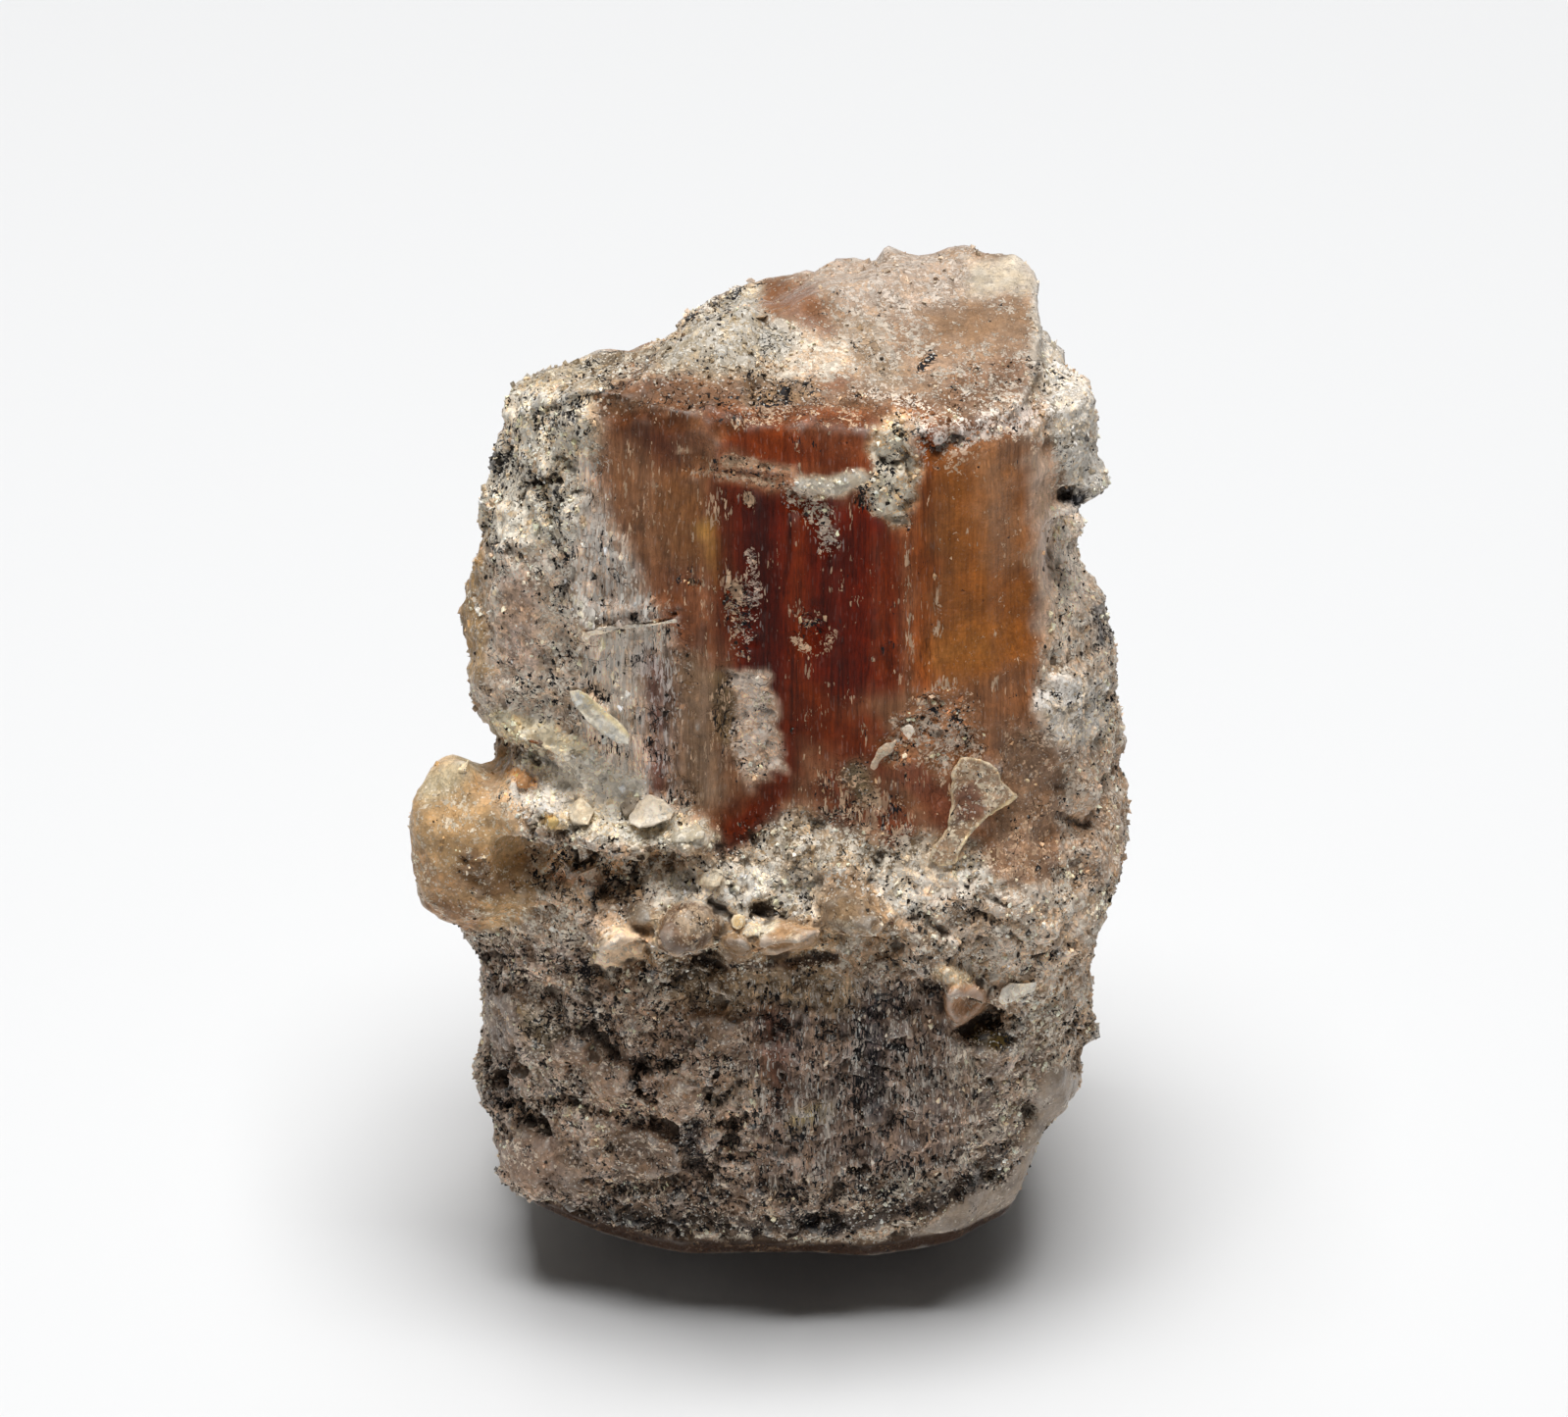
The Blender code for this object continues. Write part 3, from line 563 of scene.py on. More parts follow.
# Grooves and ridges: a line of spots, its width in pixels and its height in millimetres.
creases = [
    ([(594, 650), (600, 642), (640, 637), (690, 631)], 4, 0.05),
    ([(602, 634), (688, 625)], 3, -0.05),
    ([(586, 668), (594, 650)], 3.5, 0.08),
    ([(512, 742), (548, 754), (590, 770)], 4, -0.10),
    ([(1077, 832), (1092, 838), (1106, 841)], 3.0, -0.16),
    ([(465, 890), (490, 900), (500, 912)], 3.5, -0.12),
    ([(545, 888), (600, 897), (655, 892)], 7, -0.08),
    ([(605, 992), (622, 978), (650, 978)], 7, -0.08),
    ([(700, 978), (725, 985), (735, 1002)], 5, -0.18),
    ([(770, 984), (850, 978)], 5, -0.06),
    ([(988, 1050), (1006, 1044)], 9, -0.24),
    ([(1088, 511), (1104, 511)], 7, -0.20),
    ([(716, 472), (760, 478), (806, 484)], 3, 0.06),
    ([(716, 480), (770, 490), (806, 494)], 3, 0.06),
    ([(905, 442), (912, 512)], 18, 0.06),
    ([(815, 495), (846, 497), (880, 487)], 10, 0.07),
    ([(768, 700), (772, 780)], 20, 0.05),
    ([(772, 928), (780, 929)], 6, -0.12),
    ([(792, 394), (800, 396)], 6, -0.08),
    ([(915, 1067), (922, 1067)], 4, -0.12),
    ([(546, 1124), (600, 1132), (650, 1144), (682, 1152)], 5, -0.18),
    ([(592, 1022), (600, 1050), (622, 1080)], 3.5, -0.18),
    ([(648, 1090), (652, 1116)], 3.5, -0.18),
    ([(520, 1090), (540, 1098)], 4, -0.16),
    ([(596, 1210), (640, 1214), (700, 1206)], 5, -0.20),
    ([(960, 306), (985, 298), (1010, 306), (1030, 303)], 3, 0.05),
]

# Where the eased copy falls short of the outline or goes past it: a spot, a radius in pixels, and how far it
# is pushed to the right and up, in millimetres.
pushes = [
    (830, 286, 50, 0, 0.50), (740, 312, 34, 0, 0.34), (900, 268, 34, 0, 0.30), (1040, 268, 30, 0, 0.20),
    (640, 352, 44, 0, -0.20), (1112, 575, 40, -0.32, 0), (470, 545, 28, 0.20, 0), (466, 668, 28, 0.22, 0),
    (462, 776, 26, -0.10, 0.42), (466, 945, 24, -0.30, -0.10), (440, 925, 26, -0.32, -0.10),
    (1118, 502, 26, 0.36, 0), (1108, 392, 22, 0.28, 0), (1142, 808, 56, 0.18, 0), (482, 705, 50, -0.16, 0),
    (708, 318, 24, 0, 0.34), (755, 300, 60, 0, 0.16), (890, 262, 16, 0, 0.26), (1052, 285, 24, 0.30, 0),
    (1134, 665, 50, 0.20, 0), (426, 815, 40, -0.20, 0), (480, 956, 22, -0.36, 0),
]


def plain(painting, count):
    return {key: np.tile(np.array(value, float), (count, 1)) for key, value in painting.items()}


def lay(values, painting, share):
    for key, value in painting.items():
        values[key] += (np.array(value, float) - values[key]) * share[:, None]


rims = {
    "ragged": ((10, 1.0, 21.0), (8, 0.35, 27.0)),  # pixels, size, seed
    "fullFrom": (8, 20),  # less ragged below this softness, and below this width of a line
    "within": 0.4,
}


# Lays the zones over the values of every point.
def paint(values, points, normals, zones, behind=False):
    spots, facing = spotsOf(points, behind), facingOf(normals, behind)
    ragged = waves(points, *rims["ragged"])
    fullSoft, fullWidth = rims["fullFrom"]
    for zone in zones:
        soft = zone["soft"]
        if "area" in zone:
            share = ease(-soft, soft, insideOf(spots, zone["area"]) + ragged * min(1, soft / fullSoft))
        else:
            away = awayFrom(spots, zone["path"]) + ragged * min(1, zone["width"] / fullWidth)
            share = 1 - ease(-soft, soft, away - zone["width"])
        share = share * facing
        if zone["within"] is not None:
            share = share * (1 - ease(-rims["within"], rims["within"], points[:, 1] - zone["within"]))
        lay(values, zone["look"], share)
    return values


# The crust has broken into plates: how high each one stands, and how near a point is to a plate's edge.
plates = {
    "size": 1.35, "around": 8.5, "tall": 1.2, "bend": 0.7, "bendSize": 1.3, "ragged": 0.2, "raggedSize": 0.4,
    "step": 0.30, "groove": 0.26, "edge": 0.08, "split": (-0.12, 0.30), "splitSize": 1.8,
}


def platesOf(points):
    around = np.arctan2(points[:, 0], -points[:, 1]) * plates["around"]
    flat = np.stack((around, plates["tall"] * points[:, 2], np.zeros(len(points))), 1)
    for axis, seed in ((0, 31.0), (1, 37.0)):
        flat[:, axis] += waves(flat, (plates["bend"], plates["bendSize"], seed),
                               (plates["ragged"], plates["raggedSize"], seed + 2))
    high, gap = [], []
    for spot in (flat / plates["size"]).tolist():
        away, centers = noise.voronoi(spot)
        high.append(noise.cell(centers[0] * 7.3))
        gap.append(away[1] - away[0])
    split = ease(*plates["split"], wander(points, plates["splitSize"], 47.0))
    return np.array(high), split * np.exp(-(np.array(gap) / plates["edge"]) ** 2)


def paintAll(points, normals, high, edge):
    values = paint(plain(crustBase, len(points)), points, normals, backZones, True)
    away = np.linalg.norm((points - sideCrystal["center"]) / sideCrystal["size"], axis=1)
    away += waves(points, sideCrystal["ragged"])
    lay(values, sideCrystal["look"], 1 - ease(*sideCrystal["rim"], away))
    paint(values, points, normals, frontZones + lumps)
    grit = values["grit"][:, 0]
    broken = grit * values["dark"][:, 0] / 0.5 * (1 - crust["calm"] * values["streak"][:, 0])
    patches = wander(points, crust["darkSize"], 41.0)
    # plate edges painted darker: painted shade in the grooves
    darker = crust["edges"] * edge * broken - crust["plates"] * broken + crust["dark"] * patches * grit
    paler = crust["pale"] * wander(points, crust["paleSize"], 43.0) - crust["lessPale"] * patches
    values["dark"][:, 0] += darker
    values["pale"][:, 0] += paler * grit
    values["tint"] *= (1 + broken * (crust["tones"] * high - crust["tones"] / 2))[:, None]
    # the foot below its rim takes its painted shade
    behind = ease(*foot["depths"], points[:, 1])
    low, more = foot["ragged"]
    ragged = (low + more * behind) * wander(points, foot["raggedSize"], 5.0)
    rim = foot["top"] - foot["drop"] * behind + ragged
    rim += foot["soft"] * wander(points, foot["softSize"], 6.0)
    lay(values, foot["look"], ease(-foot["soft"], foot["soft"], rim - points[:, 2]))
    return values


def weigh(piece, name, weights, steps=24):
    group = piece.vertex_groups.new(name=name)
    levels = np.round(np.clip(weights, 0, 1) * steps).astype(int)
    for level in range(1, steps + 1):
        group.add(np.nonzero(levels == level)[0].tolist(), level / steps, "REPLACE")


# One layer of relief from a built-in texture.
def roughen(piece, group, kind, size, height, middle, settings):
    texture = bpy.data.textures.new(f"{piece.name}_{kind}_{size}", kind)
    texture.noise_scale = size
    for key, value in settings.items():
        setattr(texture, key, value)
    layer = piece.modifiers.new("relief", "DISPLACE")
    layer.texture = texture
    layer.texture_coords = "LOCAL"
    layer.strength = height
    layer.mid_level = middle
    layer.vertex_group = group


# How far each point lies below the surface around it.
def hollows(piece, points, normals, rounds):
    one, other = rowsOf(piece.data.edges, "vertices", 2, np.int64).T
    near = np.bincount(np.concatenate((one, other)), minlength=len(points))[:, None]
    eased = points.copy()
    for _ in range(rounds):
        total = np.zeros_like(eased)
        for axis in range(3):
            total[:, axis] = (np.bincount(one, eased[other, axis], len(points))
                              + np.bincount(other, eased[one, axis], len(points)))
        eased = 0.3 * eased + 0.7 * total / near
    return ((eased - points) * normals).sum(1)


# The painting and the hollows, kept in the mesh for the material.
def keepPainting(piece, values, hollow):
    for key in ("tint", "grain"):
        colors = np.ones((len(hollow), 4), np.float32)
        colors[:, :3] = values[key]
        layer = piece.data.color_attributes.new(key, "FLOAT_COLOR", "POINT")
        layer.data.foreach_set("color", colors.ravel())
    numbers = {key: values[key][:, 0] for key in ("pale", "dark", "streak", "grit")}
    for key, column in {**numbers, "hollow": hollow}.items():
        layer = piece.data.attributes.new(key, "FLOAT", "POINT")
        layer.data.foreach_set("value", column.astype(np.float32))


# Node helpers
def wired(tree, kind, sockets, **settings):
    node = tree.nodes.new("ShaderNode" + kind)
    for key, value in settings.items():
        setattr(node, key, value)
    for key, value in sockets.items():
        if isinstance(value, bpy.types.NodeSocket):
            tree.links.new(value, node.inputs[key])
        else:
            node.inputs[key].default_value = value
    return node.outputs


def maths(tree, operation, first, second):
    return wired(tree, "Math", {0: first, 1: second}, operation=operation)[0]


def times(tree, first, second):
    return maths(tree, "MULTIPLY", first, second)


def minus(tree, first, second):
    return maths(tree, "SUBTRACT", first, second)


# The sum of some values, each times its weight.
def weighted(tree, *parts):
    total = times(tree, *parts[0])
    for part in parts[1:]:
        total = maths(tree, "ADD", total, times(tree, *part))
    return total


def vectors(tree, operation, first, second):
    return wired(tree, "VectorMath", {0: first, 1: second}, operation=operation)[0]


def blended(tree, share, first, second, mode="MIX"):
    return wired(tree, "Mix", {0: share, 6: first, 7: second}, data_type="RGBA", blend_type=mode)[2]


def tinted(tree, color, other):
    return blended(tree, 1.0, color, other, "MULTIPLY")


def shaded(tree, color, value):
    return tinted(tree, color, wired(tree, "CombineColor", {0: value, 1: value, 2: value})[0])


# The value where the share is 1, and 1 where it is 0.
def partly(tree, share, value):
    return wired(tree, "Mix", {0: share, 2: 1.0, 3: value})[0]


def ramped(tree, value, low, high, newLow=0.0, newHigh=1.0, kind="SMOOTHSTEP"):
    sockets = {0: value, 1: low, 2: high, 3: newLow, 4: newHigh}
    return wired(tree, "MapRange", sockets, interpolation_type=kind)[0]


def spread(tree, value, low, high, newLow, newHigh):
    return ramped(tree, value, low, high, newLow, newHigh, "LINEAR")


def noisy(tree, vector, scale, detail=3.0, roughness=0.6, output=0):
    sockets = {"Vector": vector, "Scale": scale, "Detail": detail, "Roughness": roughness}
    return wired(tree, "TexNoise", sockets)[output]


def stretched(tree, vector, scale, shift=(0, 0, 0)):
    return wired(tree, "Mapping", {"Vector": vector, "Scale": scale, "Location": shift})[0]


# Three random values for each cell.
def cellsOf(tree, vector, scale):
    cells = wired(tree, "TexVoronoi", {"Vector": vector, "Scale": scale})["Color"]
    return wired(tree, "SeparateColor", {0: cells})


# The other sockets of the groups carry single values.
socketKinds = {"Place": "Vector", "Color": "Color", "Tint": "Color", "Under": "Color", "Grain": "Color",
               "Black": "Color", "Soil": "Color"}


# A group, what it is given, and a function that links what it puts out.
def newGroup(name, given, made):
    group = bpy.data.node_groups.new(name, "ShaderNodeTree")
    for way, labels in (("INPUT", given), ("OUTPUT", made)):
        for label in labels:
            kind = "NodeSocket" + socketKinds.get(label, "Float")
            group.interface.new_socket(label, in_out=way, socket_type=kind)
    ends = group.nodes.new("NodeGroupOutput").inputs

    def finish(*values):
        for value, end in zip(values, ends):
            group.links.new(value, end)
        return group

    return group, group.nodes.new("NodeGroupInput").outputs, finish


def placed(tree, group, **given):
    return wired(tree, "Group", given, node_tree=group)


# Object coordinates in millimetres.
def makeMillimetres():
    group, _, finish = newGroup("inMillimetres", [], ["Place"])
    place = wired(group, "TexCoord", {})["Object"]
    return finish(vectors(group, "MULTIPLY", place, (perMetre,) * 3))


# The tone of the crystal itself, cloudy and drawn out upright.
def makeUnderTone():
    group, given, finish = newGroup("underTone", ["Place", "Tint", "Streak"], ["Color", "Lines"])
    place = given["Place"]
    clouds = noisy(group, place, 1.2, 5.0, 0.65)
    lines = noisy(group, stretched(group, place, (9.0, 9.0, 0.28)), 1.0, 4.0, 0.8)
    bands = noisy(group, stretched(group, place, (2.2, 2.2, 0.10), (2, 5, 1)), 1.0)
    upright = spread(group, weighted(group, (lines, 0.65), (bands, 0.35)), 0.36, 0.62, 0.32, 1.85)
    upright = partly(group, given["Streak"], upright)
    cloudy = spread(group, clouds, 0.3, 0.7, 0.72, 1.30)
    toned = shaded(group, given["Tint"], times(group, cloudy, upright))
    # warmer and cooler patches
    warmth = ramped(group, noisy(group, stretched(group, place, (1, 1, 1), (8, 3, 5)), 2.3), 0.38, 0.62)
    toned = blended(group, warmth, toned, tinted(group, toned, (1.05, 0.99, 0.90, 1.0)))
    return finish(toned, upright)


# Where a field rises over a line that sinks as more is asked for.
def maskOf(tree, field, middle, smoothness, asked, line, rim):
    field = minus(tree, minus(tree, field, middle), smoothness)
    return ramped(tree, minus(tree, field, spread(tree, asked, 0.0, 1.0, *line)), rim, 0.03)


# Sugary grains over the crystal, pale ones and black ones, each grain with a tone of its own.
def makeGrains():
    group, given, finish = newGroup(
        "sugaryGrains", ["Place", "Under", "Grain", "Black", "Pale", "Dark", "Streak", "Grit"],
        ["Color", "PaleMask", "Height", "Glint"])
    even, under, black, grit = (given[key] for key in ("Place", "Under", "Black", "Grit"))
    patches = noisy(group, even, 1.3, 4.0, 0.65)
    # upright zones take drawn-out grains, with a ragged change between the two
    drawn = stretched(group, even, (1.5, 1.5, 0.24), (3, 1, 7))
    chance = maths(group, "GREATER_THAN", maths(group, "ADD", given["Streak"], patches), 1.0)
    place = wired(group, "Mix", {0: chance, 4: even, 5: drawn}, data_type="VECTOR")[1]
    jog = vectors(group, "SUBTRACT", noisy(group, place, 8.0, 2.0, 0.5, "Color"), (0.5, 0.5, 0.5))
    place = vectors(group, "ADD", place, vectors(group, "MULTIPLY", jog, (0.05, 0.05, 0.05)))
    big, small, fine = [cellsOf(group, place, scale) for scale in (4.4, 10.0, 22.0)]
    # blocks of crust, smooth ones and grainy ones, each with a tone of its own
    bend = vectors(group, "MULTIPLY", noisy(group, even, 1.7, 1.0, 0.5, "Color"), (1.1, 1.1, 1.1))
    blocks = vectors(group, "ADD", stretched(group, even, (0.85, 0.85, 1.2)), bend)
    block = cellsOf(group, blocks, 2.1)
    smoothness = times(group, minus(group, block[0], 0.45), 0.16)
    clumps = noisy(group, place, 3.0)
    field = weighted(group, (big[0], 0.22), (small[0], 0.34), (fine[0], 0.30), (clumps, 0.45),
                     (patches, 0.60))
    paleMask = maskOf(group, field, 0.455, smoothness, given["Pale"], (0.84, 0.20), -0.015)
    darkPatches = noisy(group, stretched(group, even, (1, 1, 1), (7, 2, 9)), 1.5, 4.0, 0.65)
    darkClumps = noisy(group, stretched(group, place, (1, 1, 1), (9, 4, 2)), 4.0)
    field = weighted(group, (big[1], 0.16), (small[1], 0.30), (fine[1], 0.28), (darkClumps, 0.45),
                     (darkPatches, 0.70))
    darkMask = maskOf(group, field, 0.50, smoothness, given["Dark"], (0.86, 0.34), -0.012)
    # cracks around blocks of crust, painted black as shade in the gaps, wider where the crust is dark
    edge = wired(group, "TexVoronoi", {"Vector": blocks, "Scale": 2.1}, feature="DISTANCE_TO_EDGE")[0]
    darkness = times(group, given["Dark"], maths(group, "ADD", given["Dark"], 0.25))
    width = times(group, minus(group, darkPatches, 0.47), darkness)
    crack = ramped(group, edge, 0.0, maths(group, "MAXIMUM", width, 0.0004), 0.9, 0.0)
    # no two grains have quite the same tone
    paleTone = shaded(group, given["Grain"], spread(group, small[2], 0.0, 1.0, 0.70, 1.25))
    paleTone = blended(group, spread(group, big[2], 0.5, 1.0, 0.0, 0.6), paleTone, under)
    mixed = weighted(group, (big[1], 0.3), (small[2], 0.4), (fine[2], 0.3))
    mixed = spread(group, mixed, 0.15, 0.85, 0.46, 1.58)
    mixed = times(group, mixed, spread(group, block[1], 0.0, 1.0, 0.70, 1.30))
    mixed = partly(group, spread(group, grit, 0.0, 1.0, 0.22, 1.0), mixed)
    midTone = shaded(group, under, times(group, mixed, spread(group, grit, 0.0, 1.0, 1.0, 1.34)))
    kind = blended(group, big[0], (1.06, 1.0, 0.91, 1.0), (0.94, 0.98, 1.04, 1.0))
    midTone = tinted(group, midTone, blended(group, grit, (1.0, 1.0, 1.0, 1.0), kind))
    covered = blended(group, paleMask, midTone, paleTone)
    covered = blended(group, darkMask, covered, black)
    # the painted shade of the cracks
    covered = blended(group, crack, covered, black)
    # painted highlights: a few fine grains are painted near white, standing in for glints
    paintedGlint = times(group, maths(group, "GREATER_THAN", fine[2], 0.95), times(group, grit, 0.8))
    covered = blended(group, paintedGlint, covered, (0.86, 0.83, 0.76, 1.0))
    height = weighted(group, (paleMask, 0.5), (darkMask, -0.9), (block[1], 0.6), (crack, -1.2),
                      (big[2], 0.5), (small[2], 0.35), (fine[2], 0.15))
    return finish(covered, paleMask, height, maths(group, "GREATER_THAN", small[0], 0.80))


# Painted shade, darker in the hollows, and raised edges painted lighter.
def makeHollowShade():
    group, given, finish = newGroup("hollowShade", ["Color", "Hollow", "Soil", "Depth", "Light"], ["Color"])
    share = maths(group, "DIVIDE", given["Hollow"], given["Depth"])
    up = times(group, ramped(group, share, -0.1, -1.2), given["Light"])
    lighter = blended(group, up, given["Color"], (1.0, 0.95, 0.88, 1.0), "SCREEN")
    return finish(blended(group, ramped(group, share, 0.15, 1.4, 0.0, 0.85), lighter, given["Soil"]))


crystalLook = {
    "black": seen(27, 26, 28),
    # Painted shade in the hollows: its tone and how deep a hollow is when it is full; edgeLight is how much
    # raised edges are painted lighter.
    "hollowShadeTone": seen(48, 40, 34),
    "hollowShadeDepth": 0.10,
    "edgeLight": 0.3,
    "glassy": 0.26,
    "rough": 0.62,
    "level": 0.07,
    "ior": 1.64,
    "bump": 0.9,
    "bumpDepth": 0.00008,
}


def makeCrystalMaterial():
    material = bpy.data.materials.new("childrenite")
    material.use_nodes = True
    tree = material.node_tree
    shader = tree.nodes["Principled BSDF"].inputs
    shader["Specular IOR Level"].default_value = crystalLook["level"]
    shader["IOR"].default_value = crystalLook["ior"]
    place = placed(tree, makeMillimetres())["Place"]
    pale, dark, streak, grit, hollow = (wired(tree, "Attribute", {}, attribute_name=key)["Fac"]
                                        for key in ("pale", "dark", "streak", "grit", "hollow"))
    tint, grain = (wired(tree, "Attribute", {}, attribute_name=key)["Color"] for key in ("tint", "grain"))
    under = placed(tree, makeUnderTone(), Place=place, Tint=tint, Streak=streak)
    grains = placed(tree, makeGrains(), Place=place, Under=under["Color"], Grain=grain, Pale=pale, Dark=dark,
                    Black=(*crystalLook["black"], 1.0), Streak=streak, Grit=grit)
    # painted shade in the hollows and lighter raised edges
    toned = placed(tree, makeHollowShade(), Color=grains["Color"], Hollow=hollow,
                   Depth=crystalLook["hollowShadeDepth"], Soil=(*crystalLook["hollowShadeTone"], 1.0),
                   Light=crystalLook["edgeLight"])
    rough = weighted(tree, (grit, 1.0), (grains["PaleMask"], 0.4), (grains["Glint"], -0.7))
    height = weighted(tree, (grains["Height"], 1.0), (under["Lines"], 0.25))
    rough = spread(tree, rough, 0.0, 1.2, crystalLook["glassy"], crystalLook["rough"])
    bump = {"Strength": crystalLook["bump"], "Distance": crystalLook["bumpDepth"], "Height": height}
    bump = wired(tree, "Bump", bump)[0]
    for value, socket in ((toned["Color"], "Base Color"), (rough, "Roughness"), (bump, "Normal")):
        tree.links.new(value, shader[socket])
    return material


body = {
    "merge": 0.0005,
    "voxel": 0.10,
    "easing": 5,
    "fineLines": (0.014, 0.4, 8.0, 0.05),  # height, size, seed and how little they change upright
    "swells": (0.03, 1.5, 2.0),  # height, size, seed
    "kept": 0.43,
    "keptInView": 1.5,
    "leastThinned": 0.15,
    "hollowRounds": 8,
    "relief": [  # texture, size, height, middle, its own settings
        ("CLOUDS", 1.2, 0.26, 0.5, {}),
        ("VORONOI", 1.10, 0.22, 0.35, {"weight_1": -1, "weight_2": 1}),
        ("VORONOI", 0.50, 0.16, 0.35, {"weight_1": -1, "weight_2": 1}),
        ("VORONOI", 0.30, 0.08, 0.5, {"distance_metric": "MANHATTAN"}),
        ("CLOUDS", 0.22, 0.09, 0.5, {}),
        ("CLOUDS", 0.10, 0.05, 0.5, {}),
    ],
}


def makeCrystal(material):
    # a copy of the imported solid, with its facets eased
    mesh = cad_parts[crystalNode].data.copy()
    mesh.transform(Matrix.Scale(perMetre, 4))
    crystal = addPiece("crystal", mesh)
    editAll(crystal, bpy.ops.mesh.remove_doubles, threshold=body["merge"])
    reskin(crystal, body["voxel"], body["easing"])
    points, normals = groundOf(crystal)
    print("the copy has", len(points), "points")
    high, edge = platesOf(points)
    values = paintAll(points, normals, high, edge)
    grit = values["grit"][:, 0]
    spots, facing = spotsOf(points), facingOf(normals)
    upright = np.sqrt(np.maximum(0, 1 - normals[:, 2] ** 2))
    rise, *fineLines = body["fineLines"]
    height = rise * wander(points, *fineLines) * upright * (1 - grit)
    height += waves(points, body["swells"]) * (1 - grit)
    calm = 1 - crust["calm"] * values["streak"][:, 0]
    broken = grit * np.maximum(values["dark"][:, 0], 0) * upright * calm
    height += broken * (plates["step"] * (high - 0.5) - plates["groove"] * edge)
    for path, width, rise in creases:
        height += rise * np.exp(-(awayFrom(spots, path) / width) ** 2) * facing
    moved = points + normals * height[:, None]
    for zone in lumps:
        if "rise" in zone:
            share = np.clip(insideOf(spots, zone["area"]) / zone["round"], 0, 1)
            moved -= forward * (zone["rise"] * np.sqrt(1 - (1 - share) ** 2) * facing)[:, None]
    for x, y, radius, right, up in pushes:
        away = np.hypot(*(spots - (x, y)).T)
        moved += np.exp(-(away / radius) ** 2)[:, None] * np.array((right, 0, up))
    movePoints(crystal, moved)
    weigh(crystal, "reliefWeight", grit)
    for layer in body["relief"]:
        roughen(crystal, "reliefWeight", *layer)
    least = body["leastThinned"]
    weigh(crystal, "hiddenWeight", least + (1 - least) * (1 - facing))
    thin = crystal.modifiers.new("thin", "DECIMATE")
    thin.ratio = body["kept"]
    thin.vertex_group = "hiddenWeight"
    thin.vertex_group_factor = body["keptInView"]
    applyAll(crystal)
    points, normals = groundOf(crystal)
    points[:, 2] = np.maximum(points[:, 2], 0.0)
    movePoints(crystal, points)
    values = paintAll(points, normals, *platesOf(points))
    hollow = hollows(crystal, points, normals, body["hollowRounds"])
    keepPainting(crystal, values, hollow)
    crystal.data.calc_loop_triangles()
    ground = {"points": points, "normals": normals, "values": values, "hollow": hollow,
              "corners": rowsOf(crystal.data.loop_triangles, "vertices", 3, np.int32)}
    settle(crystal, material)
    return crystal, ground


# A plate or chip that stands out of the crust. Its rim has spots of the frame and how far, in millimetres,
# it stands out there. It is sunk in the crust, or has a thickness where it stands clear.
chipPlain = {"lift": 0.05, "flat": 0.4, "thick": None, "sunk": 0.25, "voxel": 0.05, "easing": 1, "dome": 0,
             "domeWidth": 6, "bumpy": 0.05, "hollowRounds": 4, "zones": (), "edge": None}
chipLook = look((170, 150, 124), 0.32, 0.14, grain=(206, 194, 172), streak=0, grit=0.4)


def chip(rim, *painting, grain=None, grit=None, **settings):
    painted = {**chipLook, **look(*painting, grain=grain, grit=grit)}
    return {**chipPlain, **settings, "rim": rim, "look": painted}


def makeChip(skin, name, setup):
    rim = [(x, y) for x, y, _ in setup["rim"]]
    feet = np.array([landOn(skin, x, y) for x, y in rim])
    footDepth = -(feet @ forward)
    depth = footDepth + np.array([height for _, _, height in setup["rim"]]) + setup["lift"]
    columns = np.column_stack((np.array(rim, float) - np.mean(rim, 0), np.ones(len(rim))))
    depth += (columns @ np.linalg.lstsq(columns, depth, rcond=None)[0] - depth) * setup["flat"]
    if setup["thick"]:
        baseDepth = depth - setup["thick"]
    else:
        baseDepth = np.minimum(footDepth, depth) - setup["sunk"]
    tops, bases = (feet - forward * (level - footDepth)[:, None] for level in (depth, baseDepth))
    count = len(rim)
    sides = [[i, i + count, (i + 1) % count + count, (i + 1) % count] for i in range(count)]
    faces = [list(range(count)), list(range(2 * count - 1, count - 1, -1))] + sides
    piece = addFromData(name, np.vstack((tops, bases)), faces)
    editAll(piece, bpy.ops.mesh.normals_make_consistent, inside=False)
    reskin(piece, setup["voxel"], setup["easing"])
    points, normals = groundOf(piece)
    inside = insideOf(spotsOf(points), rim)
    dome = setup["dome"] * ease(0, setup["domeWidth"], inside) * ease(-0.3, 0.4, normals @ -forward)
    seed = sum(map(ord, name)) % 50
    ragged = setup["bumpy"] * waves(points, (1, 0.40, seed), (0.8, 0.15, seed + 3))
    movePoints(piece, points - forward * dome[:, None] + normals * ragged[:, None])
    points, normals = groundOf(piece)
    zones = list(setup["zones"])
    if setup["edge"]:
        zones.append(line(rim + rim[:1], *setup["edge"]))
    values = paint(plain(setup["look"], len(points)), points, normals, zones)
    keepPainting(piece, values, hollows(piece, points, normals, setup["hollowRounds"]))
    return piece


def makeChips(name, chips, skin, material):
    takeUp(*[makeChip(skin, f"{name}_{label}", setup) for label, setup in chips.items()])
    bpy.ops.object.join()
    bpy.context.object.name = name
    settle(bpy.context.object, material)


